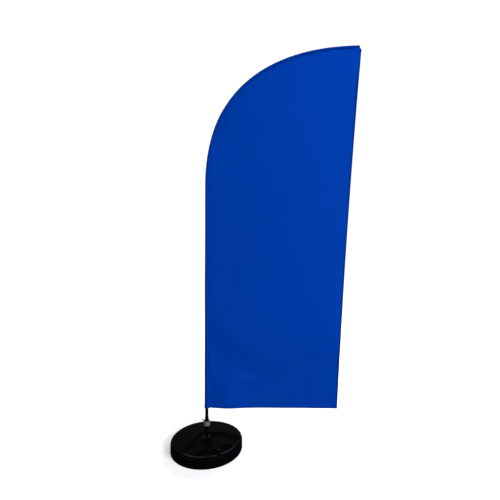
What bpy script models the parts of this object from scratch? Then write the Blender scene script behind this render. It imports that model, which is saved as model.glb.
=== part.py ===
"""Feather flag with pole: a knife-cut flag on a bent sectional pole, which turns on a ball bearing above a
round tank base. Metres, +Z up. The origin is the centre of the tank's underside, and the flag flies towards
+X in the plane Y = 0."""

import math

import bmesh
import bpy
from mathutils import Vector

GAP = 0.0003  # clearance between pieces that touch

# Tank base
TANK_RADIUS = 0.200
TANK_HEIGHT = 0.057
TANK_WALL = 0.0035
TANK_RIM_ROUND = 0.012
TANK_FOOT_ROUND = 0.005
WEDGE_DEPTH = 0.0025  # the shallow recess that holds the hub and opens towards the front
WEDGE_RIM = 0.020  # from the tank's side to the recess
WEDGE_BACK_LEFT = (-0.044, 0.050)
WEDGE_BACK_RIGHT = (0.070, 0.068)
WEDGE_ANGLES = (-127.0, 5.0)
LEDGE_DEPTH = 0.004  # the pocket for the filler cap, below the wedge's floor
LEDGE_RIM = 0.026
LEDGE_WIDTH = 0.048
LEDGE_ANGLES = (-104.0, -27.0)

# Filler, in the middle of the ledge
FILLER_ANGLE = -57.0
FILLER_HOLE_RADIUS = 0.0125
CAP_OVERHANG = 0.004  # how far the cap's head stands out past its hole
CAP_HEAD = 0.0045
CAP_PLUG = 0.010
CAP_RIBS = 12
GRIP_BAR = (0.024, 0.004, 0.004)
SEAL_THICKNESS = 0.0014
PLUG_POCKET = 0.003  # room under the plug in the water

# Post and its insert in the tank
INSERT_RADIUS = 0.012
INSERT_LENGTH = 0.030
STUD_RADIUS = 0.008
POST_HEIGHT = 0.0822  # with its flange
POST_FLANGE_RADIUS = 0.026
POST_FLANGE = 0.004
POST_RADIUS = 0.010

# Ball bearing, 10 x 26 x 8 mm, and its housing
BEARING_BORE_RADIUS = 0.005
BEARING_OUTER_RADIUS = 0.013
BEARING_WIDTH = 0.008
BALL_COUNT = 7
BALL_RADIUS = 0.0022
RACE_LIP = 0.0018  # how far each race stays from the ball circle
CAGE_HALF_WIDTH = 0.0007
CAGE_HALF_HEIGHT = 0.0034
HOUSING_WALL = 0.0047
HOUSING_ROUND = 0.0015
SOCKET_DEPTH = 0.008  # how far the housing reaches down over the post
HOUSING_WEB = 0.0025
WEB_HOLE_RADIUS = 0.003
CIRCLIP_ROOM_RADIUS = 0.0085
CIRCLIP_ROOM = 0.003
RING_THICKNESS = 0.0012
RING_BITE = 0.0012  # how far each ring reaches into its groove
RING_LIP = 0.0014  # the housing above the retaining ring's groove
RING_WIDTH = 0.0034
RING_OPENING = 34.0  # degrees

# Spindle
SHAFT_TAIL = 0.0024  # below the bearing
SHOULDER_RADIUS = 0.0067
NECK_RADIUS = 0.0070
NECK_LENGTH = 0.0137  # from the housing to the top of the flange that the pole stands on
HOOK_CLEARANCE = 0.0012  # above the housing
HOOK_RING_RADIUS = 0.0115
HOOK_HEIGHT = 0.005
HOOK_REACH = 0.028
HOOK_WIDTH = 0.005
HOOK_LIP = 0.003
REST_OVERHANG = 0.0015  # how far that flange stands out past the pole
REST_FLANGE = 0.0045
SPIGOT_LENGTH = 0.120

# Pole
TUBE_RADIUS = 0.009
TUBE_WALL = 0.0015
TUBE_LENGTH = 0.740
FOOT_FERRULE_WALL = 0.0012
FOOT_FERRULE_HEIGHT = 0.006
PLUG_LENGTH = 0.060
COLLAR_HEIGHT = 0.008
FERRULE_SOCKET = 0.050
FERRULE_WALL = 0.0016
MIDDLE_RADIUS = 0.0065
MIDDLE_LENGTH = 0.950
UPPER_FERRULE_LENGTH = 0.100
UPPER_FERRULE_WALL = 0.0009
TIP_RADII = (0.0050, 0.0025)
TIP_CAP_LENGTH = 0.024
TIP_CAP_WALL = 0.0013
STRAIGHT_RISE = 1.316  # from the pole's foot to the start of its bend
BEND_REACH = 0.865
BEND_RISE = 0.782
BEND_START_HANDLE = 0.681
BEND_END_HANDLE = 0.300
BEND_STEPS = 32

# Flag: heights are above the pole's foot
SLEEVE_START = 0.0755
SLEEVE_FOOT_EASE = 0.0036  # half widths past the tube, twice, the middle rod and the tip
SLEEVE_COLLAR_EASE = 0.0015
SLEEVE_BEND_EASE = 0.0028
SLEEVE_TIP_EASE = 0.0030
SLEEVE_NARROWED = 1.132
SLEEVE_CLOTH = 0.0008
SLEEVE_SLACK = 0.0005  # between the pole and the cloth
SLEEVE_RAMP = 0.05  # the cloth's slope past each step in what it covers
COLLAR_RAMP = 0.01
CUFF_CLOTH = 0.0013
CUFF_HEIGHT = 0.018
POCKET_CLOTH = 0.0012
POCKET_LENGTH = 0.070
POCKET_END = 0.006
FLAG_BOTTOM_LEFT = 0.0585
FLAG_BOTTOM_RIGHT = (0.7360, 0.0535)
FLAG_TIP_FROM_BEND = (0.0095, -0.010)
FLY_SCALLOP = 0.010
FLAG_CLOTH = 0.0010
FLAG_BILLOW = 0.012
FLAG_COLUMNS = 9
FLAG_LEVEL_ROWS = 12

# Places that follow from the sizes above
WEDGE_FLOOR = TANK_HEIGHT - WEDGE_DEPTH
LEDGE_FLOOR = WEDGE_FLOOR - LEDGE_DEPTH
LEDGE_OUTER = TANK_RADIUS - LEDGE_RIM
LEDGE_INNER = LEDGE_OUTER - LEDGE_WIDTH
FILLER_DISTANCE = (LEDGE_INNER + LEDGE_OUTER) / 2
CAP_RADIUS = FILLER_HOLE_RADIUS + CAP_OVERHANG
INSERT_BORE_RADIUS = INSERT_RADIUS + GAP
POST_TOP = WEDGE_FLOOR + GAP + POST_HEIGHT
BEARING_LOW = POST_TOP + GAP + HOUSING_WEB + CIRCLIP_ROOM + GAP
BEARING_HIGH = BEARING_LOW + BEARING_WIDTH
BALL_CIRCLE_RADIUS = (BEARING_BORE_RADIUS + BEARING_OUTER_RADIUS) / 2
HOUSING_SEAT_RADIUS = BEARING_OUTER_RADIUS + GAP
HOUSING_RADIUS = HOUSING_SEAT_RADIUS + HOUSING_WALL
RING_LOW = BEARING_HIGH + GAP
HOUSING_TOP = RING_LOW + RING_THICKNESS + GAP + RING_LIP
REST_TOP = HOUSING_TOP + NECK_LENGTH
TUBE_BORE_RADIUS = TUBE_RADIUS - TUBE_WALL
TUBE_LOW = REST_TOP + GAP
TUBE_HIGH = TUBE_LOW + TUBE_LENGTH
COLLAR_HIGH = TUBE_HIGH + GAP + COLLAR_HEIGHT
MIDDLE_LOW = COLLAR_HIGH + GAP
SOCKET_BORE_RADIUS = MIDDLE_RADIUS + GAP
SOCKET_OUTER_RADIUS = SOCKET_BORE_RADIUS + FERRULE_WALL
SOCKET_HIGH = MIDDLE_LOW + FERRULE_SOCKET
TIP_START = MIDDLE_LOW + MIDDLE_LENGTH + GAP
UPPER_FERRULE_LOW = TIP_START - UPPER_FERRULE_LENGTH / 2
UPPER_FERRULE_HIGH = TIP_START + UPPER_FERRULE_LENGTH / 2
UPPER_FERRULE_RADIUS = SOCKET_BORE_RADIUS + UPPER_FERRULE_WALL
BEND_START = REST_TOP + STRAIGHT_RISE
BEND_END = (BEND_REACH, BEND_START + BEND_RISE)
SLEEVE_LOW = REST_TOP + SLEEVE_START
CUFF_LOW = SLEEVE_LOW - GAP - CUFF_HEIGHT

# Smoothness
ROUND = 28
TANK_ROUND = 60
CORNER_STEPS = 3


# Shape helpers

def clear_scene():
    for old in list(bpy.data.objects):
        bpy.data.objects.remove(old, do_unlink=True)


def material(name, colour, roughness, metallic=0.0):
    made = bpy.data.materials.new(name)
    made.use_nodes = True
    shader = made.node_tree.nodes["Principled BSDF"]
    shader.inputs["Base Color"].default_value = (*colour, 1.0)
    shader.inputs["Roughness"].default_value = roughness
    shader.inputs["Metallic"].default_value = metallic
    return made


def finish(bm, name, look, sharp=35.0):
    """Makes the bmesh a named, smooth-shaded object with its faces pointing out."""
    bmesh.ops.recalc_face_normals(bm, faces=bm.faces)
    mesh = bpy.data.meshes.new(name)
    bm.to_mesh(mesh)
    bm.free()
    mesh.shade_smooth()
    mesh.set_sharp_from_angle(angle=math.radians(sharp))
    obj = bpy.data.objects.new(name, mesh)
    bpy.context.scene.collection.objects.link(obj)
    if look:
        mesh.materials.append(look)
    return obj


def frame(name, children, parent=None, place=(0.0, 0.0)):
    """An empty on a joint's upright axis, which carries the pieces that move together."""
    made = bpy.data.objects.new(name, None)
    made.location = (*place, 0.0)
    made.parent = parent
    bpy.context.scene.collection.objects.link(made)
    for child in children:
        child.parent = made
    return made


def hide_cutter(cutter):
    cutter.hide_render = True
    cutter.display_type = "WIRE"
    return cutter


def cut(target, cutter):
    change = target.modifiers.new(cutter.name, "BOOLEAN")
    change.operation = "DIFFERENCE"
    change.solver = "EXACT"
    change.object = hide_cutter(cutter)


def join(target, addition):
    change = target.modifiers.new(addition.name, "BOOLEAN")
    change.operation = "UNION"
    change.solver = "EXACT"
    change.object = hide_cutter(addition)


def turned(name, profile, look, segments=ROUND):
    """A closed solid turned about Z. The profile's (radius, z) points run round it once."""
    bm = bmesh.new()
    rings = []
    for radius, z in profile:
        if radius < 1e-9:
            rings.append([bm.verts.new((0.0, 0.0, z))])
            continue
        ring = []
        for k in range(segments):
            angle = 2 * math.pi * k / segments
            ring.append(bm.verts.new((radius * math.cos(angle), radius * math.sin(angle), z)))
        rings.append(ring)
    for low, high in zip(rings, rings[1:] + rings[:1]):
        if len(low) == 1 and len(high) == 1:
            continue
        for k in range(segments):
            n = (k + 1) % segments
            corners = [low[k % len(low)], low[n % len(low)], high[n % len(high)], high[k % len(high)]]
            bm.faces.new(list(dict.fromkeys(corners)))
    return finish(bm, name, look)


def tube_section(inner, outer, low, high):
    return [(inner, low), (outer, low), (outer, high), (inner, high)]


def arc(centre, radius, start, end, steps=CORNER_STEPS):
    """Points on an arc, both ends included, in degrees."""
    points = []
    for k in range(steps + 1):
        angle = math.radians(start + (end - start) * k / steps)
        points.append((centre[0] + radius * math.cos(angle), centre[1] + radius * math.sin(angle)))
    return points


def polar(radius, degrees):
    return radius * math.cos(math.radians(degrees)), radius * math.sin(math.radians(degrees))


def grown(outline, distance):
    """An anticlockwise outline moved outwards by distance, with mitred corners."""
    moved = []
    for before, here, after in zip(outline[-1:] + outline[:-1], outline, outline[1:] + outline[:1]):
        first = Vector((here[0] - before[0], here[1] - before[1])).normalized()
        second = Vector((after[0] - here[0], after[1] - here[1])).normalized()
        normals = Vector((first.y, -first.x)), Vector((second.y, -second.x))
        mitre = (normals[0] + normals[1]).normalized()
        step = distance / mitre.dot(normals[0])
        moved.append((here[0] + mitre.x * step, here[1] + mitre.y * step))
    return moved


def prism(name, outline, low, high, look=None):
    bm = bmesh.new()
    floor = [bm.verts.new((x, y, low)) for x, y in outline]
    roof = [bm.verts.new((x, y, high)) for x, y in outline]
    bm.faces.new(floor)
    bm.faces.new(roof)
    for k in range(len(outline)):
        n = (k + 1) % len(outline)
        bm.faces.new((floor[k], floor[n], roof[n], roof[k]))
    return finish(bm, name, look)


def rectangle(left, right, half_width):
    """Anticlockwise, seen from above, and centred on Y = 0."""
    return [(left, -half_width), (right, -half_width), (right, half_width), (left, half_width)]


# The pole's centreline

def bend_point(t):
    points = (
        Vector((0.0, BEND_START)),
        Vector((0.0, BEND_START + BEND_START_HANDLE)),
        Vector((BEND_END[0] - BEND_END_HANDLE, BEND_END[1])),
        Vector(BEND_END),
    )
    weights = ((1 - t) ** 3, 3 * t * (1 - t) ** 2, 3 * t * t * (1 - t), t ** 3)
    return sum((p * w for p, w in zip(points, weights)), Vector((0.0, 0.0)))


def measured_bend(fine_steps=400):
    """(distance, centre, outward normal) at even distances along the bend. Every piece on the pole has its
    rings here, so pieces that lie inside one another stay parallel."""
    fine = [bend_point(k / fine_steps) for k in range(fine_steps + 1)]
    lengths = [0.0]
    for before, here in zip(fine, fine[1:]):
        lengths.append(lengths[-1] + (here - before).length)
    found = []
    for k in range(BEND_STEPS + 1):
        wanted = lengths[-1] * k / BEND_STEPS
        i = min(next(i for i, length in enumerate(lengths) if length >= wanted - 1e-9), fine_steps - 1)
        share = (wanted - lengths[i]) / (lengths[i + 1] - lengths[i])
        along = (fine[i + 1] - fine[max(i - 1, 0)]).normalized()
        found.append((BEND_START + wanted, fine[i].lerp(fine[i + 1], share), Vector((-along.y, along.x))))
    return found


BEND = measured_bend()
PATH_END = BEND[-1][0]


def path_frame(distance):
    """The centreline's (x, z) at a distance from z = 0 along the pole, and the normal on its outer side."""
    if distance <= BEND_START:
        return Vector((0.0, distance)), Vector((-1.0, 0.0))
    for (low, centre_low, normal_low), (high, centre_high, normal_high) in zip(BEND, BEND[1:]):
        if distance <= high + 1e-9:
            share = (distance - low) / (high - low)
            return centre_low.lerp(centre_high, share), normal_low.lerp(normal_high, share)
    raise ValueError(f"{distance} lies past the pole's end")


def stations(start, end, extra=()):
    """Where a piece from start to end has its rings."""
    inside = [distance for distance, _, _ in BEND] + list(extra)
    clear = 0.0015
    return sorted({start, end} | {s for s in inside if start + clear < s < end - clear})


def ring_at(bm, distance, half_width, half_depth, sides):
    centre, outward = path_frame(distance)
    ring = []
    for k in range(sides):
        angle = 2 * math.pi * k / sides
        across = half_width * math.cos(angle)
        x, z = centre + outward * across
        ring.append(bm.verts.new((x, half_depth * math.sin(angle), z)))
    return ring


def bridge(bm, first, second):
    for k in range(len(first)):
        n = (k + 1) % len(first)
        bm.faces.new((first[k], first[n], second[n], second[k]))


def swept(name, sections, look, sides):
    """A closed solid along the pole. sections are (distance, half width, half depth), from one end cap over
    the outside and, on a hollow piece, back along the inside."""
    bm = bmesh.new()
    rings = [ring_at(bm, *section, sides) for section in sections]
    for first, second in zip(rings, rings[1:]):
        bridge(bm, first, second)
    if sections[0][0] == sections[-1][0]:
        bridge(bm, rings[-1], rings[0])
    else:
        bm.faces.new(rings[0])
        bm.faces.new(rings[-1])
    return finish(bm, name, look)


# Tank base

def tank_profile(gap=0.0, wall=0.0):
    """The tank's turned section outside its hub, drawn in by wall and gap."""
    inset = wall + gap
    side = TANK_RADIUS - inset
    top = TANK_HEIGHT - inset
    rim = TANK_RIM_ROUND - inset
    foot = max(TANK_FOOT_ROUND - inset, 0.001)
    return (
        arc((side - foot, inset + foot), foot, -90, 0)
        + arc((side - rim, top - rim), rim, 0, 90)
    )


def wedge_outline():
    """Anticlockwise, seen from above."""
    return arc((0, 0), TANK_RADIUS - WEDGE_RIM, *WEDGE_ANGLES, steps=28) + [WEDGE_BACK_RIGHT, WEDGE_BACK_LEFT]


def ledge_outline():
    low, high = LEDGE_ANGLES
    return arc((0, 0), LEDGE_OUTER, low, high, steps=16) + arc((0, 0), LEDGE_INNER, high, low, steps=12)


def cavity(name, gap, look=None):
    """The tank's inside, one wall in from its skin. With a gap it is the water, clear of the wall."""
    hub = INSERT_BORE_RADIUS + TANK_WALL + gap
    inset = TANK_WALL + gap
    profile = [(hub, TANK_HEIGHT - inset), (hub, inset)] + tank_profile(gap, TANK_WALL)
    made = turned(name, profile, look, segments=TANK_ROUND)
    over = TANK_HEIGHT
    cut(made, prism(name + "_under_wedge", grown(wedge_outline(), inset), WEDGE_FLOOR - inset, over))
    cut(made, prism(name + "_under_ledge", grown(ledge_outline(), inset), LEDGE_FLOOR - inset, over))
    return made


def build_tank(black):
    above = TANK_HEIGHT + 0.01
    profile = [(0, TANK_HEIGHT), (0, 0)] + tank_profile()
    tank = turned("base_tank", profile, black, segments=TANK_ROUND)
    cut(tank, prism("wedge_recess", wedge_outline(), WEDGE_FLOOR, above))
    cut(tank, prism("ledge_recess", ledge_outline(), LEDGE_FLOOR, above))
    cut(tank, cavity("tank_inside", 0.0))
    depth = WEDGE_FLOOR - INSERT_LENGTH - 2 * GAP
    cut(tank, turned("insert_bore", tube_section(0, INSERT_BORE_RADIUS, depth, above), None))
    below = LEDGE_FLOOR - 2 * TANK_WALL
    filler_hole = turned("filler_hole", tube_section(0, FILLER_HOLE_RADIUS, below, above), None)
    filler_hole.location = (*polar(FILLER_DISTANCE, FILLER_ANGLE), 0.0)
    cut(tank, filler_hole)
    return tank


def build_ballast(water):
    ballast = cavity("water_ballast", GAP, water)
    bottom = LEDGE_FLOOR + SEAL_THICKNESS + 2 * GAP - CAP_PLUG - PLUG_POCKET
    pocket = tube_section(0, FILLER_HOLE_RADIUS + GAP, bottom, TANK_HEIGHT)
    plug_pocket = turned("plug_pocket", pocket, None)
    plug_pocket.location = (*polar(FILLER_DISTANCE, FILLER_ANGLE), 0.0)
    cut(ballast, plug_pocket)
    return ballast


def build_filler(black, rubber):
    """The cap, its seal and the cap's cutters, about the cap's own axis."""
    seal_low = LEDGE_FLOOR + GAP
    seal_high = seal_low + SEAL_THICKNESS
    inner, outer = FILLER_HOLE_RADIUS + GAP, CAP_RADIUS - GAP
    seal = turned("cap_seal", tube_section(inner, outer, seal_low, seal_high), rubber)

    low = seal_high + GAP
    high = low + CAP_HEAD
    plug = FILLER_HOLE_RADIUS - GAP
    edge = 0.001
    profile = [
        (0, high), (0, low - CAP_PLUG), (plug - edge, low - CAP_PLUG), (plug, low - CAP_PLUG + edge),
        (plug, low), (CAP_RADIUS, low), (CAP_RADIUS, high - edge), (CAP_RADIUS - edge, high),
    ]
    cap = turned("filler_cap", profile, black)
    length, width, height = GRIP_BAR
    bar = prism("grip_bar", rectangle(-length / 2, length / 2, width / 2), high - edge, high + height)
    join(cap, bar)
    notch = 0.0012
    made = [seal, cap, bar]
    for k in range(CAP_RIBS):
        section = tube_section(0, notch, low + edge, high + edge)
        cutter = turned(f"cap_notch_{k + 1}", section, None, segments=8)
        cutter.location = (*polar(CAP_RADIUS + notch / 3, 360.0 * (k + 0.5) / CAP_RIBS), 0.0)
        cut(cap, cutter)
        made.append(cutter)
    return made


# Post, bearing and spindle

def build_post(black_steel, brass):
    insert_low = WEDGE_FLOOR - INSERT_LENGTH - GAP
    insert_high = WEDGE_FLOOR - GAP
    inner = STUD_RADIUS + GAP
    insert = turned("threaded_insert", tube_section(inner, INSERT_RADIUS, insert_low, insert_high), brass)

    flange_low = WEDGE_FLOOR + GAP
    flange_high = flange_low + POST_FLANGE
    edge = 0.001
    profile = [
        (0, POST_TOP), (0, insert_low + edge), (STUD_RADIUS - edge, insert_low + edge),
        (STUD_RADIUS, insert_low + 2 * edge), (STUD_RADIUS, flange_low), (POST_FLANGE_RADIUS, flange_low),
        (POST_FLANGE_RADIUS, flange_high - edge), (POST_FLANGE_RADIUS - edge, flange_high),
        (POST_RADIUS + 0.004, flange_high), (POST_RADIUS, flange_high + 0.004), (POST_RADIUS, POST_TOP),
    ]
    return [insert, turned("post", profile, black_steel)]


def build_housing(silver):
    socket = POST_RADIUS + GAP
    low = POST_TOP + GAP - SOCKET_DEPTH
    web_low = POST_TOP + GAP
    web_high = web_low + HOUSING_WEB
    seat_low = BEARING_LOW - GAP
    seat = HOUSING_SEAT_RADIUS
    groove_low = BEARING_HIGH
    groove_high = HOUSING_TOP - RING_LIP
    groove = seat + RING_BITE
    top = HOUSING_TOP
    corner = HOUSING_ROUND
    profile = (
        [(WEB_HOLE_RADIUS, web_high), (WEB_HOLE_RADIUS, web_low), (socket, web_low), (socket, low)]
        + arc((HOUSING_RADIUS - corner, low + corner), corner, -90, 0, steps=3)
        + arc((HOUSING_RADIUS - corner, top - corner), corner, 0, 90, steps=3)
        + [(seat, top), (seat, groove_high), (groove, groove_high), (groove, groove_low), (seat, groove_low),
           (seat, seat_low), (CIRCLIP_ROOM_RADIUS, seat_low), (CIRCLIP_ROOM_RADIUS, web_high)]
    )
    return turned("bearing_housing", profile, silver)


def open_ring(name, inner, outer, low, high, look):
    """A flat spring ring with a gap in it."""
    half = RING_OPENING / 2
    outline = arc((0, 0), outer, half, 360 - half, steps=28) + arc((0, 0), inner, 360 - half, half, steps=28)
    return prism(name, outline, low, high, look)


def groove_points(side, ball_z):
    """The ball's track in a race: side is +1 on the outer race and -1 on the inner one."""
    track = BALL_RADIUS + GAP
    reach = math.degrees(math.acos(RACE_LIP / track))
    middle = 0.0 if side > 0 else 180.0
    return arc((BALL_CIRCLE_RADIUS, ball_z), track, middle - reach, middle + reach, steps=5)


def ball_at(name, place, radius, look):
    bm = bmesh.new()
    bmesh.ops.create_uvsphere(bm, u_segments=10, v_segments=7, radius=radius)
    bmesh.ops.translate(bm, verts=bm.verts, vec=place)
    return finish(bm, name, look)


def build_bearing(steel):
    """(what stands still, what turns with the spindle, what rolls between them)"""
    low, high = BEARING_LOW, BEARING_HIGH
    ball_z = (low + high) / 2
    outer_lip = BALL_CIRCLE_RADIUS + RACE_LIP
    inner_lip = BALL_CIRCLE_RADIUS - RACE_LIP
    section = [(BEARING_OUTER_RADIUS, high), (outer_lip, high)] + groove_points(1, ball_z)[::-1]
    outer = turned("bearing_outer_race", section + [(outer_lip, low), (BEARING_OUTER_RADIUS, low)], steel)
    section = [(BEARING_BORE_RADIUS, low), (inner_lip, low)] + groove_points(-1, ball_z)[::-1]
    inner = turned("bearing_inner_race", section + [(inner_lip, high), (BEARING_BORE_RADIUS, high)], steel)

    near, far = BALL_CIRCLE_RADIUS - CAGE_HALF_WIDTH, BALL_CIRCLE_RADIUS + CAGE_HALF_WIDTH
    section = tube_section(near, far, ball_z - CAGE_HALF_HEIGHT, ball_z + CAGE_HALF_HEIGHT)
    cage = turned("bearing_cage", section, steel)
    rolling = [cage]
    for k in range(BALL_COUNT):
        place = (*polar(BALL_CIRCLE_RADIUS, 360.0 * k / BALL_COUNT), ball_z)
        ball = ball_at(f"bearing_ball_{k + 1}", place, BALL_RADIUS, steel)
        pocket = ball_at(f"ball_pocket_{k + 1}", place, BALL_RADIUS + GAP, None)
        cut(cage, pocket)
        rolling += [ball, pocket]

    ring_outer = BEARING_OUTER_RADIUS + RING_BITE
    ring = open_ring("retaining_ring", ring_outer - RING_WIDTH, ring_outer, RING_LOW,
                     RING_LOW + RING_THICKNESS, steel)
    return [outer, ring], inner, rolling


def build_spindle(black_steel, steel, black):
    shaft = BEARING_BORE_RADIUS - GAP
    clip_high = BEARING_LOW - GAP
    clip_low = clip_high - RING_THICKNESS
    clip_groove = shaft - RING_BITE
    shoulder_low = BEARING_HIGH + GAP
    rod = TUBE_BORE_RADIUS - GAP
    top = REST_TOP + SPIGOT_LENGTH
    rest_low = REST_TOP - REST_FLANGE
    rest = TUBE_RADIUS + REST_OVERHANG
    edge = 0.0015
    profile = [
        (0, top), (0, BEARING_LOW - SHAFT_TAIL), (clip_groove, BEARING_LOW - SHAFT_TAIL),
        (shaft, clip_low - GAP), (clip_groove, clip_low - GAP), (clip_groove, clip_high + GAP / 2),
        (shaft, clip_high + GAP / 2), (shaft, shoulder_low), (SHOULDER_RADIUS, shoulder_low),
        (NECK_RADIUS, HOUSING_TOP), (NECK_RADIUS, rest_low), (rest, rest_low + edge),
        (rest, REST_TOP), (rod, REST_TOP), (rod, top - edge), (rod - edge, top),
    ]
    spigot = turned("spigot", profile, black_steel)
    clip_inner = clip_groove + GAP
    clip = open_ring("shaft_circlip", clip_inner, clip_inner + RING_WIDTH, clip_low, clip_high, steel)

    low = HOUSING_TOP + HOOK_CLEARANCE
    high = low + HOOK_HEIGHT
    inner = NECK_RADIUS + GAP
    ring = turned("tie_hook", tube_section(inner, HOOK_RING_RADIUS, low, high), black)
    arm = rectangle(-HOOK_REACH, -HOOK_RING_RADIUS + 0.002, HOOK_WIDTH / 2)
    lip = rectangle(-HOOK_REACH, -HOOK_REACH + HOOK_LIP, HOOK_WIDTH / 2 - GAP)
    hook_arm = prism("hook_arm", arm, low + 0.0005, low + HOOK_LIP)
    hook_lip = prism("hook_lip", lip, low + 0.001, high + HOOK_LIP)
    join(ring, hook_arm)
    join(ring, hook_lip)
    return [spigot, clip, ring, hook_arm, hook_lip]


# Pole

def tip_end():
    return PATH_END - POCKET_END - GAP - TIP_CAP_WALL - GAP


def tip_radius(distance):
    share = (distance - TIP_START) / (tip_end() - TIP_START)
    return TIP_RADII[0] + (TIP_RADII[1] - TIP_RADII[0]) * min(max(share, 0.0), 1.0)


def build_pole(black_tube, black_rod, metal, rubber):
    low, high = TUBE_LOW, TUBE_HIGH
    tube = turned("pole_lower", tube_section(TUBE_BORE_RADIUS, TUBE_RADIUS, low, high), black_tube)

    inner = TUBE_RADIUS + GAP
    outer = inner + FOOT_FERRULE_WALL
    foot = turned("foot_ferrule", tube_section(inner, outer, low, low + FOOT_FERRULE_HEIGHT), metal)

    plug = TUBE_BORE_RADIUS - GAP
    profile = [
        (0, COLLAR_HIGH), (0, high - PLUG_LENGTH), (plug - 0.001, high - PLUG_LENGTH),
        (plug, high - PLUG_LENGTH + 0.001), (plug, high + GAP), (TUBE_RADIUS, high + GAP),
        (TUBE_RADIUS, COLLAR_HIGH), (SOCKET_OUTER_RADIUS, COLLAR_HIGH), (SOCKET_OUTER_RADIUS, SOCKET_HIGH),
        (SOCKET_BORE_RADIUS, SOCKET_HIGH), (SOCKET_BORE_RADIUS, COLLAR_HIGH),
    ]
    lower_joint = turned("ferrule_lower", profile, metal)

    sections = [(s, MIDDLE_RADIUS, MIDDLE_RADIUS) for s in stations(MIDDLE_LOW, MIDDLE_LOW + MIDDLE_LENGTH)]
    middle = swept("pole_middle", sections, black_rod, 16)

    start, end = UPPER_FERRULE_LOW, UPPER_FERRULE_HIGH
    skin, wide, narrow = UPPER_FERRULE_RADIUS, SOCKET_BORE_RADIUS, TIP_RADII[0] + GAP
    step = GAP / 3  # the bore narrows over this length, where the two rods meet
    outside = [(s, skin, skin) for s in stations(start, end)]
    inside = [(s, narrow, narrow) for s in stations(TIP_START + step, end)[::-1]]
    inside += [(s, wide, wide) for s in stations(start, TIP_START)[::-1]]
    upper_joint = swept("ferrule_upper", outside + inside, metal, 16)

    sections = [(s, tip_radius(s), tip_radius(s)) for s in stations(TIP_START + 2 * GAP, tip_end())]
    tip = swept("pole_tip", sections, black_rod, 14)

    cap_start = tip_end() - TIP_CAP_LENGTH
    cap_end = tip_end() + GAP + TIP_CAP_WALL
    bore = tip_radius(cap_start) + GAP
    skin = bore + TIP_CAP_WALL
    outside = [(cap_start, skin, skin), (cap_end - 0.001, skin, skin), (cap_end, skin - 0.001, skin - 0.001)]
    inside = [(tip_end() + GAP, bore, bore), (cap_start, bore, bore)]
    end_cap = capped_tube("tip_cap", outside, inside, rubber, 14)
    return [tube, foot, lower_joint, middle, upper_joint, tip, end_cap]


def capped_tube(name, outside, inside, look, sides):
    """A hollow piece along the pole, open at its start and closed at its far end."""
    bm = bmesh.new()
    outer = [ring_at(bm, *section, sides) for section in outside]
    inner = [ring_at(bm, *section, sides) for section in inside]
    for first, second in zip(outer, outer[1:]):
        bridge(bm, first, second)
    for first, second in zip(inner, inner[1:]):
        bridge(bm, first, second)
    bridge(bm, inner[-1], outer[0])
    bm.faces.new(outer[-1])
    bm.faces.new(inner[0])
    return finish(bm, name, look)


# Flag

def eased(value, points):
    """Linear between (place, result) points, and level past the ends."""
    if value <= points[0][0]:
        return points[0][1]
    for (low, first), (high, second) in zip(points, points[1:]):
        if value <= high:
            return first + (second - first) * (value - low) / (high - low)
    return points[-1][1]


def carried_radius(distance):
    """The radius of what lies inside the sleeve, with a ramp of cloth past each step."""
    cap_start = tip_end() - TIP_CAP_LENGTH
    cap = tip_radius(cap_start) + GAP + TIP_CAP_WALL
    return eased(distance, [
        (COLLAR_HIGH - COLLAR_RAMP, TUBE_RADIUS), (COLLAR_HIGH, max(TUBE_RADIUS, SOCKET_OUTER_RADIUS)),
        (COLLAR_HIGH + COLLAR_RAMP, SOCKET_OUTER_RADIUS),
        (SOCKET_HIGH, SOCKET_OUTER_RADIUS), (SOCKET_HIGH + SLEEVE_RAMP, MIDDLE_RADIUS),
        (UPPER_FERRULE_LOW - SLEEVE_RAMP, MIDDLE_RADIUS), (UPPER_FERRULE_LOW, UPPER_FERRULE_RADIUS),
        (UPPER_FERRULE_HIGH, UPPER_FERRULE_RADIUS), (UPPER_FERRULE_HIGH + SLEEVE_RAMP, TIP_RADII[0]),
        (cap_start - SLEEVE_RAMP, TIP_RADII[0]), (cap_start, cap),
    ])


def sleeve_half_depth(distance):
    return carried_radius(distance) + SLEEVE_SLACK + SLEEVE_CLOTH


def sleeve_half_width(distance):
    drawn = eased(distance, [
        (SLEEVE_LOW, TUBE_RADIUS + SLEEVE_FOOT_EASE), (COLLAR_HIGH, TUBE_RADIUS + SLEEVE_COLLAR_EASE),
        (REST_TOP + SLEEVE_NARROWED, MIDDLE_RADIUS + SLEEVE_BEND_EASE),
        (PATH_END, TIP_RADII[0] + SLEEVE_TIP_EASE),
    ])
    return max(drawn, sleeve_half_depth(distance))


def sleeve_stations(start, end):
    """The sleeve's rings: also where what it covers changes size."""
    steps = [COLLAR_HIGH, COLLAR_HIGH + COLLAR_RAMP, SOCKET_HIGH, SOCKET_HIGH + SLEEVE_RAMP,
             REST_TOP + SLEEVE_NARROWED, UPPER_FERRULE_LOW - SLEEVE_RAMP, UPPER_FERRULE_LOW,
             UPPER_FERRULE_HIGH, UPPER_FERRULE_HIGH + SLEEVE_RAMP]
    return stations(start, end, steps)


def cloth_section(distance, out=0.0):
    return distance, sleeve_half_width(distance) + out, sleeve_half_depth(distance) + out


def pocket_start():
    return PATH_END - POCKET_LENGTH


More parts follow.
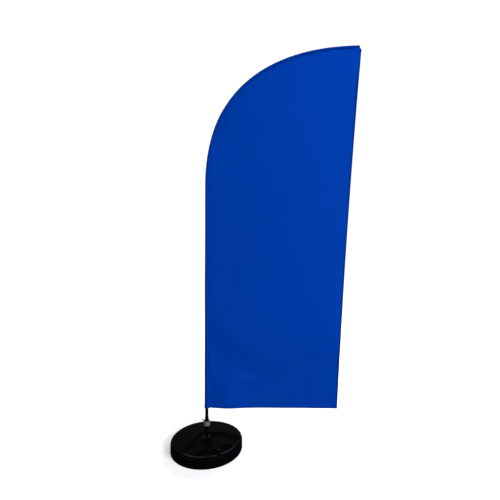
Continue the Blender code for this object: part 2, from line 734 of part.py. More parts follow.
def build_sleeve(cloth, strong_cloth):
    sides = 14
    places = sleeve_stations(SLEEVE_LOW, pocket_start() - GAP)
    outside = [cloth_section(s) for s in places]
    inside = [cloth_section(s, -SLEEVE_CLOTH) for s in places[::-1]]
    sleeve = swept("pole_sleeve", outside + inside, cloth, sides)

    low, high = CUFF_LOW, SLEEVE_LOW - GAP
    outside = [cloth_section(s, CUFF_CLOTH - SLEEVE_CLOTH) for s in (low, high)]
    inside = [cloth_section(s, -SLEEVE_CLOTH) for s in (high, low)]
    cuff = swept("sleeve_cuff", outside + inside, strong_cloth, sides)

    places = stations(pocket_start(), PATH_END, [PATH_END - POCKET_END - GAP])
    outside = [cloth_section(s, POCKET_CLOTH - SLEEVE_CLOTH) for s in places]
    inside = [cloth_section(s, -SLEEVE_CLOTH) for s in places[::-1] if s < PATH_END - POCKET_END]
    inside.insert(0, cloth_section(PATH_END - POCKET_END, -SLEEVE_CLOTH))
    return [sleeve, cuff, capped_tube("tip_pocket", outside, inside, strong_cloth, sides)]


def fly_ends():
    """The free edge's lowest and highest points."""
    low = Vector((FLAG_BOTTOM_RIGHT[0], REST_TOP + FLAG_BOTTOM_RIGHT[1]))
    return low, Vector(BEND_END) + Vector(FLAG_TIP_FROM_BEND)


def fly_edge(share):
    """A point of the free edge, from 0 at the bottom to 1 at the tip, drawn in a little between its ends."""
    low, high = fly_ends()
    point = low.lerp(high, share)
    point.x -= FLY_SCALLOP * math.sin(math.pi * share)
    return point


def flag_rows():
    """Pairs of ends, one on the sleeve's seam and one on the free edge: level rows up to the bend, and a fan
    of slanting rows round it."""
    clear = CUFF_CLOTH - SLEEVE_CLOTH + GAP
    low, high = fly_ends()
    reached = (BEND_START - low.y) / (high.y - low.y)
    bottom = REST_TOP + FLAG_BOTTOM_LEFT
    rows = []
    for k in range(FLAG_LEVEL_ROWS + 1):
        share = k / FLAG_LEVEL_ROWS
        z = bottom + (BEND_START - bottom) * share
        seam = Vector((sleeve_half_width(max(z, CUFF_LOW)) + clear, z))
        rows.append((seam, fly_edge(reached * share)))
    for k in range(1, BEND_STEPS + 1):
        distance, centre, outward = BEND[k]
        seam = centre - outward * (sleeve_half_width(distance) + clear)
        rows.append((seam, fly_edge(reached + (1 - reached) * k / BEND_STEPS)))
    return rows


def billow(across, up):
    """How far the cloth stands out of its plane: nothing at its edges, most in the middle."""
    return -FLAG_BILLOW * math.sin(math.pi * across) * math.sin(math.pi * up)


def build_panel(cloth):
    bm = bmesh.new()
    rows = flag_rows()
    half = FLAG_CLOTH / 2
    faces = {-1: [], 1: []}
    for r, (seam, free) in enumerate(rows):
        up = r / (len(rows) - 1)
        for side, grid in faces.items():
            line = []
            for c in range(FLAG_COLUMNS + 1):
                across = c / FLAG_COLUMNS
                x, z = seam.lerp(free, across)
                line.append(bm.verts.new((x, billow(across, up) + side * half, z)))
            grid.append(line)
    for grid in faces.values():
        for low, high in zip(grid, grid[1:]):
            for c in range(FLAG_COLUMNS):
                bm.faces.new((low[c], low[c + 1], high[c + 1], high[c]))
    front, back = faces[-1], faces[1]
    for low_f, high_f, low_b, high_b in zip(front, front[1:], back, back[1:]):
        for c in (0, FLAG_COLUMNS):
            bm.faces.new((low_f[c], high_f[c], high_b[c], low_b[c]))
    for r in (0, -1):
        for c in range(FLAG_COLUMNS):
            bm.faces.new((front[r][c], front[r][c + 1], back[r][c + 1], back[r][c]))
    return finish(bm, "flag_panel", cloth)


def main():
    clear_scene()
    black_plastic = material("black_plastic", (0.012, 0.012, 0.013), 0.42)
    black_steel = material("black_steel", (0.014, 0.014, 0.015), 0.38)
    black_tube = material("black_tube", (0.010, 0.010, 0.011), 0.35, 0.6)
    black_rod = material("black_rod", (0.011, 0.011, 0.012), 0.30)
    water = material("water", (0.55, 0.70, 0.75), 0.05)
    brass = material("brass", (0.60, 0.42, 0.16), 0.30, 1.0)
    silver = material("silver", (0.62, 0.62, 0.64), 0.25, 1.0)
    steel = material("steel", (0.50, 0.50, 0.52), 0.28, 1.0)
    metal = material("grey_metal", (0.24, 0.24, 0.25), 0.35, 1.0)
    rubber = material("rubber", (0.020, 0.020, 0.020), 0.75)
    cloth = material("blue_cloth", (0.002, 0.042, 0.370), 0.80)
    strong_cloth = material("blue_band", (0.002, 0.034, 0.300), 0.85)

    still = [build_tank(black_plastic), build_ballast(water), build_housing(silver)]
    still += build_post(black_steel, brass)
    still_bearing, inner_race, rolling = build_bearing(steel)
    turning = build_spindle(black_steel, steel, black_plastic) + [inner_race]
    flying = build_pole(black_tube, black_rod, metal, rubber) + build_sleeve(cloth, strong_cloth)
    base = frame("base_frame", still + still_bearing)
    frame("filler_axis", build_filler(black_plastic, rubber), base, polar(FILLER_DISTANCE, FILLER_ANGLE))
    frame("ball_axis", rolling, base)
    rotor = frame("rotor_axis", turning, base)
    frame("pole_axis", flying + [build_panel(cloth)], rotor)


main()
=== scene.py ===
"""Feather flag with pole: the looks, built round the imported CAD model. Metres, +Z up.

The frame gives every place. Each visible CAD node is either replaced by a finer piece that keeps its
size, or stays and gets a procedural material.
"""
import math

import bmesh
import bpy
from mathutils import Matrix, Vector, noise


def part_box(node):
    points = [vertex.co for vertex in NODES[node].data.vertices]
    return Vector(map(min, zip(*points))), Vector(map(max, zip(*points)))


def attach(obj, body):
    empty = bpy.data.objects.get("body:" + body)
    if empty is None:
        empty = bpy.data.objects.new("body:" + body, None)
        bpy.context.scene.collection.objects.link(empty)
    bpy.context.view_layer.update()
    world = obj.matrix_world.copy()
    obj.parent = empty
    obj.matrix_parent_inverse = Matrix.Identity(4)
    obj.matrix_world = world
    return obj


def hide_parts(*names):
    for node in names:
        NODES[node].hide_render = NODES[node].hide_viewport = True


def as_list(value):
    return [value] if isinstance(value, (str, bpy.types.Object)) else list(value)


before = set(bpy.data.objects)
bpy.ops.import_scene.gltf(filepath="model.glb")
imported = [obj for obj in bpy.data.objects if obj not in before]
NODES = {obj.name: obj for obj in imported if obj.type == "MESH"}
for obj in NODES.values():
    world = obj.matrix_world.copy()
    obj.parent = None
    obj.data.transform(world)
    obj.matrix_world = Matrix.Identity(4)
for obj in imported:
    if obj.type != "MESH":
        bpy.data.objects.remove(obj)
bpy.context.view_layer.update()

LOOKS = {}

# Clearances and smoothness
SMALL = 0.0003
LATHE_SIDES = 128
SHARP_ANGLE = math.radians(38)
CLOTH_ANGLE = math.radians(60)

# The pole's line: straight up, then one cubic curve
POLE_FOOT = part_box("pole_lower")[0].z
BEND_START = POLE_FOOT + 1.3157
BEND_REACH = 0.865
BEND_RISE = 0.782
BEND_START_HANDLE = 0.681
BEND_END_HANDLE = 0.300
BEND_STEPS = 160

# Base
TANK_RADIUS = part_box("base_tank")[1].x
TANK_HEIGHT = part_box("base_tank")[1].z
TANK_WALL = 0.0035
TANK_EDGE = 0.0011
TANK_SIDES = 192
RIM_ROUND = 0.012
FOOT_ROUND = 0.005
WEDGE_FLOOR = TANK_HEIGHT - 0.0025
LEDGE_FLOOR = WEDGE_FLOOR - 0.004
WEDGE_RADIUS = TANK_RADIUS - 0.020
WEDGE_ANGLES = (-127.0, 5.0)
WEDGE_BACK = ((0.070, 0.068), (-0.044, 0.050))
WEDGE_STEPS = 96
WEDGE_SLOPE_REACH = (-0.0010, 0.0045)  # off the recess's radius, from the slope's low end to its high one
WEDGE_SLOPE_DROP = 0.0015
LEDGE_RADII = (TANK_RADIUS - 0.074, TANK_RADIUS - 0.026)
LEDGE_ANGLES = (-104.0, -27.0)
PARTING_HEIGHT = 0.030
PARTING_GROOVE = ((0.0, -0.0006), (-0.0005, -0.0002), (-0.0005, 0.0002), (0.0, 0.0006))
SEAL_GRIP = 0.0037  # how far the cap's seal reaches over the edge of the filler hole
CUTTER_SIDES = 96
CUTTER_TOP = TANK_HEIGHT + 0.01

# Filler cap
CAP_OVERHANG = 0.004
CAP_RIBS = 12
CAP_BAR_HALF_LENGTH = 0.012
CAP_BAR_HALF_WIDTH = 0.002

# Post and bearing
STUD_RADIUS = 0.008
THREAD_PITCH = 0.00125
THREAD_DEPTH = 0.0006
FLANGE_THICKNESS = 0.004
POST_RADIUS = 0.010
POST_FILLET = 0.004
SPANNER_HOLE_CIRCLE = 0.0185
HOUSING_CORNER = 0.0015
HOUSING_WEB = 0.0025
HOUSING_LINES = (0.30, 0.42, 0.72)  # shares of its height

# Spindle, tie hook and tube
SHAFT_RADIUS = 0.0047
SHOULDER_RADIUS = 0.0067
NECK_RADIUS = 0.0070
ROD_RADIUS = 0.0072
CLIP_GROOVE = 0.0012
REST_THICKNESS = 0.0045
HOOK_RADII = (0.0073, 0.0115)
HOOK_RING_HEIGHT = 0.005
HOOK_ARM_HALF = 0.0025
TUBE_WALL = 0.0015

# Cloth
SLEEVE_SIDES = 56
TIP_POCKET_LENGTH = 0.070
FLAG_THICKNESS = 0.0005
FLAG_COLUMNS = 110
FLAG_ROWS = 260
SCALLOP = 0.010
BILLOW = 0.012
HEM_WIDTH = 0.009
HEM_THICKNESS = 0.0014
HEM_MARGIN = 0.004
EDGE_WIDTH = 0.0034
EDGE_THICKNESS = 0.0019
SEAM_WIDTH = 0.010
SEAM_THICKNESS = 0.0016
SEAM_TUCK = 0.0012  # how far the allowance reaches into the sleeve's cloth

# Stitches: their size, how far in from the edge each row runs, and the rows' lengths
STITCH_PITCH = 0.0036
STITCH_LENGTH = 0.0025
STITCH_RADIUS = 0.00022
STITCH_SIDES = 6
HEM_STITCHES = (0.0052, 0.0078)
SEAM_STITCHES = (0.0030, 0.0075)
BOTTOM_RUN = 0.73
FLY_RUN = 2.03
SEAM_RUN = 2.62

# Camera, in front of the flag and level
CAMERA_PLACE = (0.307, -2.0, 1.146)
CAMERA_LENS = 25.47
CAMERA_SHIFT = (-0.0222, -0.0098)

# Brightness of the stage
FLOOR_GLOW = 0.52, 1.0  # under the base, and further off
FLOOR_GLOW_REACH = 0.26, 0.50
WORLD_FILL = 0.08
WORLD_SEEN = 1.05
WORLD_MIRRORED = 0.012

# Lights: place, target, size, power, and whether it shows in shiny surfaces
LIGHTS = {
    "key": ((6.4, -7.2, 4.6), (0.4, 0.0, 1.2), (4.8, 4.8), 1180.0, False),
    "glint": ((3.0, -3.3, 2.2), (0.0, 0.0, 0.2), (1.2, 1.2), 7.0, True),
    "fill": ((-2.8, -3.0, 2.2), (0.3, 0.0, 1.0), (1.3, 1.3), 5.0, True),
    "rim": ((-1.9, 2.6, 1.6), (-0.1, 0.0, 0.05), (1.5, 1.2), 0.9, True),
    "low_strip": ((0.5, 3.2, 0.21), (0.0, -0.1, 0.05), (3.0, 0.36), 6.5, True),
    "back": ((1.8, 3.0, 2.6), (0.4, 0.0, 1.2), (2.4, 2.0), 75.0, False),
}


# ---------- shapes

def keep(obj, body, look, slot, *replaced):
    """Puts a finished piece on its body, with its material, and hides the CAD nodes that it replaces. The
    slot is not used.
    """
    obj.data.materials.clear()
    obj.data.materials.append(LOOKS[look])
    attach(obj, body)
    if replaced:
        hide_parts(*replaced)
    return obj


def axis_of(name):
    """The (x, y) middle of a CAD node."""
    low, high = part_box(name)
    return (low.x + high.x) / 2, (low.y + high.y) / 2


def radius_of(name):
    low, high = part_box(name)
    return (high.x - low.x) / 2


def added(name, data):
    obj = bpy.data.objects.new(name, data)
    bpy.context.scene.collection.objects.link(obj)
    return obj


def new_object(name, bm, sharp=SHARP_ANGLE):
    bmesh.ops.recalc_face_normals(bm, faces=bm.faces)
    mesh = bpy.data.meshes.new(name)
    bm.to_mesh(mesh)
    bm.free()
    obj = added(name, mesh)
    shade(obj, sharp)
    return obj


def shade(obj, sharp=SHARP_ANGLE):
    obj.data.shade_smooth()
    obj.data.set_sharp_from_angle(angle=sharp)


def arc(centre, radius, start, end, steps):
    """Points on an arc, both ends included, in degrees."""
    points = []
    for k in range(steps + 1):
        angle = math.radians(start + (end - start) * k / steps)
        points.append((centre[0] + radius * math.cos(angle), centre[1] + radius * math.sin(angle)))
    return points


def polar(radius, degrees):
    return radius * math.cos(math.radians(degrees)), radius * math.sin(math.radians(degrees))


def corners_of(outline):
    """(corner before, corner, corner after) for each corner of a closed outline."""
    return zip(outline[-1:] + outline[:-1], outline, outline[1:] + outline[:1])


def softened(outline, size, steps=3):
    """A closed outline with each corner cut by a small curve of about that size."""
    made = []
    for before, here, after in corners_of(outline):
        here = Vector(here)
        back, ahead = Vector(before) - here, Vector(after) - here
        reach = min(size, back.length * 0.45, ahead.length * 0.45)
        start, end = here + back.normalized() * reach, here + ahead.normalized() * reach
        for step in range(steps + 1):
            t = step / steps
            made.append(tuple(start * (1 - t) ** 2 + here * 2 * t * (1 - t) + end * t * t))
    return made


def grown(outline, distance):
    """An anticlockwise outline moved outwards by distance, with mitred corners."""
    moved = []
    for before, here, after in corners_of(outline):
        first = Vector((here[0] - before[0], here[1] - before[1])).normalized()
        second = Vector((after[0] - here[0], after[1] - here[1])).normalized()
        normals = Vector((first.y, -first.x)), Vector((second.y, -second.x))
        mitre = (normals[0] + normals[1]).normalized()
        step = distance / mitre.dot(normals[0])
        moved.append((here[0] + mitre.x * step, here[1] + mitre.y * step))
    return moved


def pipe(inner, outer, low, high):
    """The (radius, height) section of a plain ring or tube."""
    return [(inner, low), (outer, low), (outer, high), (inner, high)]


def bridge(bm, first, second):
    """Faces from one ring to the next, where a corner that repeats counts once."""
    for k in range(len(first)):
        j = (k + 1) % len(first)
        bm.faces.new(list(dict.fromkeys([first[k], first[j], second[j], second[k]])))


def skin(bm, rings):
    """Faces along a row of rings, and one over each end."""
    for first, second in zip(rings, rings[1:]):
        bridge(bm, first, second)
    bm.faces.new(rings[0])
    bm.faces.new(rings[-1])


def lathe(name, profile, sides=LATHE_SIDES, centre=(0.0, 0.0)):
    """Turns a closed (radius, height) outline about a vertical axis. Points at radius 0 close it there."""
    bm = bmesh.new()
    rings = []
    for radius, height in profile:
        if radius < 1e-7:
            rings.append([bm.verts.new((*centre, height))] * sides)
            continue
        around = [polar(radius, 360.0 * k / sides) for k in range(sides)]
        rings.append([bm.verts.new((centre[0] + x, centre[1] + y, height)) for x, y in around])
    for lower, upper in zip(rings, rings[1:] + rings[:1]):
        on_axis = lower[0] is lower[1] and upper[0] is upper[1]
        if not on_axis:
            bridge(bm, lower, upper)
    return new_object(name, bm)


def prism(name, outline, low, high):
    bm = bmesh.new()
    floor = [bm.verts.new((x, y, low)) for x, y in outline]
    roof = [bm.verts.new((x, y, high)) for x, y in outline]
    bm.faces.new(floor)
    bm.faces.new(roof)
    bridge(bm, floor, roof)
    return new_object(name, bm)


def slab(name, low, high):
    corners = [(low[0], low[1]), (high[0], low[1]), (high[0], high[1]), (low[0], high[1])]
    return prism(name, corners, low[2], high[2])


def apply_modifiers(obj):
    """Bakes the object's modifiers into its mesh."""
    graph = bpy.context.evaluated_depsgraph_get()
    mesh = bpy.data.meshes.new_from_object(obj.evaluated_get(graph))
    obj.modifiers.clear()
    obj.data = mesh


def boolean(obj, other, operation):
    modifier = obj.modifiers.new("boolean", "BOOLEAN")
    modifier.operation = operation
    modifier.solver = "EXACT"
    modifier.object = other
    apply_modifiers(obj)
    bpy.data.objects.remove(other)


def cut(obj, other):
    boolean(obj, other, "DIFFERENCE")


def join(obj, other):
    boolean(obj, other, "UNION")


def bevel(obj, width, segments=3, angle=32):
    """Rounds every edge sharper than angle."""
    bm = bmesh.new()
    bm.from_mesh(obj.data)
    bmesh.ops.remove_doubles(bm, verts=bm.verts, dist=1e-6)
    bmesh.ops.dissolve_limit(bm, angle_limit=math.radians(0.5), verts=bm.verts, edges=bm.edges)
    bm.to_mesh(obj.data)
    bm.free()
    modifier = obj.modifiers.new("bevel", "BEVEL")
    modifier.width = width
    modifier.segments = segments
    modifier.limit_method = "ANGLE"
    modifier.angle_limit = math.radians(angle)
    apply_modifiers(obj)
    shade(obj, math.radians(30))


def level_normals(obj):
    """Keeps large flat faces flat where a rounded edge meets them."""
    modifier = obj.modifiers.new("normals", "WEIGHTED_NORMAL")
    modifier.keep_sharp = True
    modifier.weight = 90
    apply_modifiers(obj)


# ---------- the pole's line

def bend_point(t):
    start = Vector((0.0, BEND_START))
    end = Vector((BEND_REACH, BEND_START + BEND_RISE))
    handles = start + Vector((0, BEND_START_HANDLE)), end - Vector((BEND_END_HANDLE, 0))
    s = 1 - t
    return start * s ** 3 + handles[0] * 3 * s * s * t + handles[1] * 3 * s * t * t + end * t ** 3


def measured_bend():
    """(distance along the pole from Z = 0, centre, outward normal) down the bend."""
    rows = []
    points = [bend_point(k / BEND_STEPS) for k in range(BEND_STEPS + 1)]
    distance = BEND_START
    for k, point in enumerate(points):
        if k:
            distance += (point - points[k - 1]).length
        along = (points[min(k + 1, BEND_STEPS)] - points[max(k - 1, 0)]).normalized()
        rows.append((distance, point, Vector((-along.y, along.x))))
    return rows


BEND = measured_bend()
PATH_END = BEND[-1][0]


def path_at(distance):
    """(centre, outward normal) in the XZ plane at that distance along the pole."""
    if distance <= BEND_START:
        return Vector((0.0, distance)), Vector((-1.0, 0.0))
    for before, after in zip(BEND, BEND[1:]):
        if distance <= after[0]:
            share = (distance - before[0]) / (after[0] - before[0])
            normal = before[2].lerp(after[2], share).normalized()
            return before[1].lerp(after[1], share), normal
    return BEND[-1][1], BEND[-1][2]


def eased(value, points):
    """Linear between (place, result) points, and level past the ends."""
    if value <= points[0][0]:
        return points[0][1]
    for (low, first), (high, second) in zip(points, points[1:]):
        if value <= high:
            return first + (second - first) * (value - low) / (high - low)
    return points[-1][1]


def smooth(value, low, high):
    share = min(max((value - low) / (high - low), 0.0), 1.0)
    return share * share * (3 - 2 * share)


# ---------- materials

def principled(name, colour, roughness, metallic=0.0, specular=0.5):
    look = bpy.data.materials.new(name)
    look.use_nodes = True
    shader = look.node_tree.nodes["Principled BSDF"]
    shader.inputs["Base Color"].default_value = (*colour, 1.0)
    shader.inputs["Roughness"].default_value = roughness
    shader.inputs["Metallic"].default_value = metallic
    shader.inputs["Specular IOR Level"].default_value = specular
    LOOKS[name] = look
    return look.node_tree, shader


def node(tree, kind, **values):
    made = tree.nodes.new(kind)
    for key, value in values.items():
        if key in made.inputs:
            made.inputs[key].default_value = value
        else:
            setattr(made, key, value)
    return made


def link(start, end):
    start.id_data.links.new(start, end)


def place_in(tree, scale=(1.0, 1.0, 1.0), rotation=(0.0, 0.0, 0.0), location=(0.0, 0.0, 0.0)):
    """Object coordinates in metres, scaled, turned and moved."""
    coordinates = node(tree, "ShaderNodeTexCoord")
    mapping = node(tree, "ShaderNodeMapping", Scale=scale, Rotation=rotation, Location=location)
    link(coordinates.outputs["Object"], mapping.inputs["Vector"])
    return mapping.outputs["Vector"]


def noise_at(place, scale, detail=3.0, roughness=0.5):
    made = node(place.id_data, "ShaderNodeTexNoise", Scale=scale, Detail=detail, Roughness=roughness)
    link(place, made.inputs["Vector"])
    return made.outputs["Fac"]


def ranged(value, low, high, start=0.3, end=0.7):
    ends = {"From Min": start, "From Max": end, "To Min": low, "To Max": high}
    made = node(value.id_data, "ShaderNodeMapRange", **ends)
    link(value, made.inputs["Value"])
    return made.outputs["Result"]


def bumped(shader, heights):
    """Bumps from (height, strength, depth in metres), one on another."""
    normal = None
    for height, strength, depth in heights:
        made = node(shader.id_data, "ShaderNodeBump", Strength=strength, Distance=depth)
        link(height, made.inputs["Height"])
        if normal is not None:
            link(normal, made.inputs["Normal"])
        normal = made.outputs["Normal"]
    link(normal, shader.inputs["Normal"])


def toned(colour, share):
    return tuple(c * share for c in colour)


def coloured(shader, value, colour, low, high, start=0.35, end=0.65):
    """The base colour runs between two shares of a colour, by value."""
    ramp = node(shader.id_data, "ShaderNodeValToRGB")
    for element, place, share in zip(ramp.color_ramp.elements, (start, end), (low, high)):
        element.position = place
        element.color = (*toned(colour, share), 1.0)
    link(value, ramp.inputs["Fac"])
    link(ramp.outputs["Color"], shader.inputs["Base Color"])


def roughened(shader, value, low, high):
    link(ranged(value, low, high), shader.inputs["Roughness"])


def plastic(name, colour, roughness, grain, specular=0.5):
    """Moulded plastic: a fine even grain, slight unevenness and faint scuffs."""
    tree, shader = principled(name, colour, roughness, specular=specular)
    place = place_in(tree)
    patches = noise_at(place, 18.0, detail=4.0)
    fine = noise_at(place, grain, detail=2.0)
    scuffed = place_in(tree, scale=(1.0, 6.0, 1.0), rotation=(0.0, 0.0, 0.6))
    scuffs = noise_at(scuffed, 60.0, detail=6.0, roughness=0.7)
    coloured(shader, patches, colour, 0.8, 1.25)
    roughened(shader, scuffs, roughness - 0.05, roughness + 0.10)
    bumped(shader, [(fine, 0.35, 0.00012), (patches, 0.10, 0.0006)])


def painted_metal(name, colour, roughness, specular=0.5, lengthwise=False):
    """Coated or anodised metal: a faint orange peel, or fine lines along the length."""
    tree, shader = principled(name, colour, roughness, specular=specular)
    scale = (1.0, 1.0, 0.02) if lengthwise else (1.0, 1.0, 1.0)
    fine = noise_at(place_in(tree, scale), 2400.0 if lengthwise else 900.0, detail=2.0)
    patches = noise_at(place_in(tree), 25.0, detail=4.0)
    coloured(shader, patches, colour, 0.85, 1.2)
    roughened(shader, patches, roughness - 0.05, roughness + 0.08)
    bumped(shader, [(fine, 0.25, 0.00005)])


def turned_metal(name, colour, roughness, pitch=5200.0, metallic=1.0):
    """Bright machined metal: fine rings round the axis, worn a little dull in patches."""
    tree, shader = principled(name, colour, roughness, metallic)
    rings = noise_at(place_in(tree, (120.0, 120.0, pitch)), 1.0, detail=2.0)
    patches = noise_at(place_in(tree), 90.0, detail=5.0, roughness=0.65)
    coloured(shader, patches, colour, 0.82, 1.0)
    roughened(shader, patches, roughness - 0.06, roughness + 0.12)
    bumped(shader, [(rings, 0.20, 0.00004)])


def knurled_metal(name, colour, roughness):
    """Cast or knurled metal, for the insert in the tank."""
    tree, shader = principled(name, colour, roughness, metallic=1.0)
    place = place_in(tree)
    cells = node(tree, "ShaderNodeTexVoronoi", Scale=1100.0)
    link(place, cells.inputs["Vector"])
    patches = noise_at(place, 140.0, detail=4.0)
    coloured(shader, patches, colour, 0.7, 1.0)
    roughened(shader, patches, roughness, roughness + 0.2)
    bumped(shader, [(cells.outputs["Distance"], 0.5, 0.0002)])


def fibreglass(name, colour, roughness):
    """Pultruded rod: long streaks of glass under a clear skin."""
    tree, shader = principled(name, colour, roughness)
    shader.inputs["Coat Weight"].default_value = 0.4
    shader.inputs["Coat Roughness"].default_value = 0.2
    streaks = noise_at(place_in(tree, (1.0, 1.0, 0.01)), 1800.0)
    patches = noise_at(place_in(tree), 40.0)
    coloured(shader, streaks, colour, 0.6, 1.8)
    roughened(shader, patches, roughness - 0.05, roughness + 0.1)
    bumped(shader, [(streaks, 0.3, 0.00005)])


def soft_rubber(name, colour, roughness):
    tree, shader = principled(name, colour, roughness, specular=0.3)
    place = place_in(tree)
    fine = noise_at(place, 1500.0)
    patches = noise_at(place, 70.0, detail=4.0)
    coloured(shader, patches, colour, 0.7, 1.5)
    roughened(shader, patches, roughness - 0.08, roughness + 0.08)
    bumped(shader, [(fine, 0.4, 0.0001)])


def still_water(name, colour):
    tree, shader = principled(name, colour, roughness=0.08)
    shader.inputs["IOR"].default_value = 1.33
    ripples = noise_at(place_in(tree), 30.0, detail=2.0)
    coloured(shader, ripples, colour, 0.85, 1.0)
    roughened(shader, ripples, 0.05, 0.12)
    bumped(shader, [(ripples, 0.2, 0.001)])


def knitted(name, colour, pitch, roughness=0.9, depth=0.00018):
    """Knitted flag polyester: rows of loops up and across, with faint lengthwise bars from the knitting."""
    tree, shader = principled(name, colour, roughness, specular=0.0)
    rows = 2.0 * math.pi / pitch / 20.0  # a wave texture makes one band per 2 pi / 20 at scale 1
    up = node(tree, "ShaderNodeTexWave", wave_type="BANDS", bands_direction="Z", Scale=rows)
    across = node(tree, "ShaderNodeTexWave", wave_type="BANDS", bands_direction="X", Scale=rows * 1.3)
    for wave in (up, across):
        wave.inputs["Distortion"].default_value = 0.6
        wave.inputs["Detail"].default_value = 1.0
        link(place_in(tree), wave.inputs["Vector"])
    bars = noise_at(place_in(tree, (1.0, 1.0, 0.02)), 130.0, detail=2.0)
    patches = noise_at(place_in(tree), 3.0)
    mixed = node(tree, "ShaderNodeMath", operation="MULTIPLY")
    link(bars, mixed.inputs[0])
    link(patches, mixed.inputs[1])
    coloured(shader, mixed.outputs["Value"], colour, 0.98, 1.02, 0.15, 0.35)
    roughened(shader, bars, roughness - 0.04, roughness + 0.04)
    bumped(shader, [
        (up.outputs["Fac"], 0.35, depth), (across.outputs["Fac"], 0.35, depth), (patches, 0.04, 0.004),
    ])


def thread(name, colour):
    """Sewing thread: two twisted strands."""
    tree, shader = principled(name, colour, roughness=0.7, specular=0.1)
    twist = node(tree, "ShaderNodeTexWave", wave_type="BANDS", bands_direction="DIAGONAL", Scale=900.0)
    link(place_in(tree), twist.inputs["Vector"])
    patches = noise_at(place_in(tree), 50.0, detail=2.0)
    coloured(shader, patches, colour, 0.8, 1.2)
    roughened(shader, patches, 0.6, 0.8)
    bumped(shader, [(twist.outputs["Fac"], 0.6, 0.0001)])


FLAG_BLUE = (0.0006, 0.046, 0.400)
# Shares of the flag's blue for the sewn parts. The sleeve, the hems with the cuff and tip pocket, and the hem
# edges are darker as painted shade. The seam keeps nearly the flag's own blue.
SEWN_AND_SHADED_BLUES = {"sleeve_painted_shade_blue": 0.78, "seam_blue": 0.97, "hem_painted_shade_blue": 0.84, "edge_painted_shade_blue": 0.50}

plastic("tank_plastic", (0.0010, 0.0010, 0.0011), 0.30, grain=1400.0, specular=0.35)
plastic("cap_plastic", (0.0014, 0.0014, 0.0014), 0.28, grain=1800.0, specular=0.5)
plastic("hook_plastic", (0.0014, 0.0014, 0.0016), 0.36, grain=1800.0, specular=0.35)
painted_metal("post_paint", (0.0011, 0.0011, 0.0012), 0.34, specular=0.35)
painted_metal("tube_black", (0.0011, 0.0011, 0.0012), 0.36, specular=0.30, lengthwise=True)
turned_metal("housing_silver", (0.62, 0.62, 0.64), 0.30, metallic=0.76)  # a satin, blasted finish
turned_metal("bearing_steel", (0.55, 0.55, 0.57), 0.22, pitch=9000.0)
turned_metal("ferrule_grey", (0.25, 0.25, 0.26), 0.36)
knurled_metal("insert_brass", (0.62, 0.42, 0.16), 0.30)
fibreglass("rod_black", (0.010, 0.010, 0.011), 0.32)
soft_rubber("rubber_black", (0.012, 0.012, 0.012), 0.72)
still_water("water", (0.50, 0.66, 0.72))
knitted("flag_blue", FLAG_BLUE, pitch=0.0011)
for sewn, share in SEWN_AND_SHADED_BLUES.items():
    knitted(sewn, toned(FLAG_BLUE, share), pitch=0.0009)
thread("thread_blue", toned(FLAG_BLUE, 0.62))


# ---------- base

def tank_profile(inset, steps):
    """The wall's line from the foot to the top, that far inside the tank's outside."""
    side, top = TANK_RADIUS - inset, TANK_HEIGHT - inset
    rim, foot = RIM_ROUND - inset, max(FOOT_ROUND - inset, 0.001)
    outer = arc((side - foot, inset + foot), foot, -90, 0, steps)
    if not inset:
        outer += [(side + x, PARTING_HEIGHT + z) for x, z in PARTING_GROOVE]
    return outer + arc((side - rim, top - rim), rim, 0, 90, steps)


def wedge_outline():
    return arc((0, 0), WEDGE_RADIUS, *WEDGE_ANGLES, WEDGE_STEPS) + list(WEDGE_BACK)


def wedge_front():
    """A cutter that slopes the recess's curved front edge down towards the hub."""
    inner, outer = (WEDGE_RADIUS + reach for reach in WEDGE_SLOPE_REACH)
    foot = TANK_HEIGHT - WEDGE_SLOPE_DROP
    section = [(inner, foot), (outer, TANK_HEIGHT), (outer, CUTTER_TOP), (inner, CUTTER_TOP)]
    low, high = WEDGE_ANGLES
    bm = bmesh.new()
    rings = []
    for k in range(WEDGE_STEPS + 1):
        angle = low + (high - low) * k / WEDGE_STEPS
        rings.append([bm.verts.new((*polar(radius, angle), height)) for radius, height in section])
    skin(bm, rings)
    return new_object("wedge_front", bm)


def ledge_outline():
    low, high = LEDGE_ANGLES
    return arc((0, 0), LEDGE_RADII[1], low, high, 48) + arc((0, 0), LEDGE_RADII[0], high, low, 40)


def drill(name, radius, low, centre=(0.0, 0.0), sides=CUTTER_SIDES):
    """A round cutter from low to clear above the tank."""
    return lathe(name, pipe(0, radius, low, CUTTER_TOP), sides, centre)


def make_tank():
    """The blow-moulded tank: hollow, with a recess for the hub, a pocket for the cap and a parting line."""
    insert_low, insert_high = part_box("threaded_insert")
    insert_bore = insert_high.x + SMALL
    hub = insert_bore + TANK_WALL

    tank = lathe("tank_shell", [(0, TANK_HEIGHT), (0, 0)] + tank_profile(0.0, 10), TANK_SIDES)
    cut(tank, prism("wedge_recess", wedge_outline(), WEDGE_FLOOR, CUTTER_TOP))
    cut(tank, prism("ledge_recess", ledge_outline(), LEDGE_FLOOR, CUTTER_TOP))
    cut(tank, wedge_front())
    inside = [(hub, TANK_HEIGHT - TANK_WALL), (hub, TANK_WALL)] + tank_profile(TANK_WALL, 6)
    cavity = lathe("cavity", inside, CUTTER_SIDES)
    for outline, floor in ((wedge_outline(), WEDGE_FLOOR), (ledge_outline(), LEDGE_FLOOR)):
        cut(cavity, prism("under_recess", grown(outline, TANK_WALL), floor - TANK_WALL, CUTTER_TOP))
    bevel(tank, TANK_EDGE, segments=7)
    cut(tank, cavity)
    cut(tank, drill("insert_bore", insert_bore, insert_low.z - SMALL))
    hole = radius_of("cap_seal") - SEAL_GRIP
    cut(tank, drill("filler_hole", hole, LEDGE_FLOOR - 2 * TANK_WALL, axis_of("filler_cap")))
    shade(tank, math.radians(14))
    level_normals(tank)
    keep(tank, "base", "tank_plastic", "black_plastic", "base_tank")


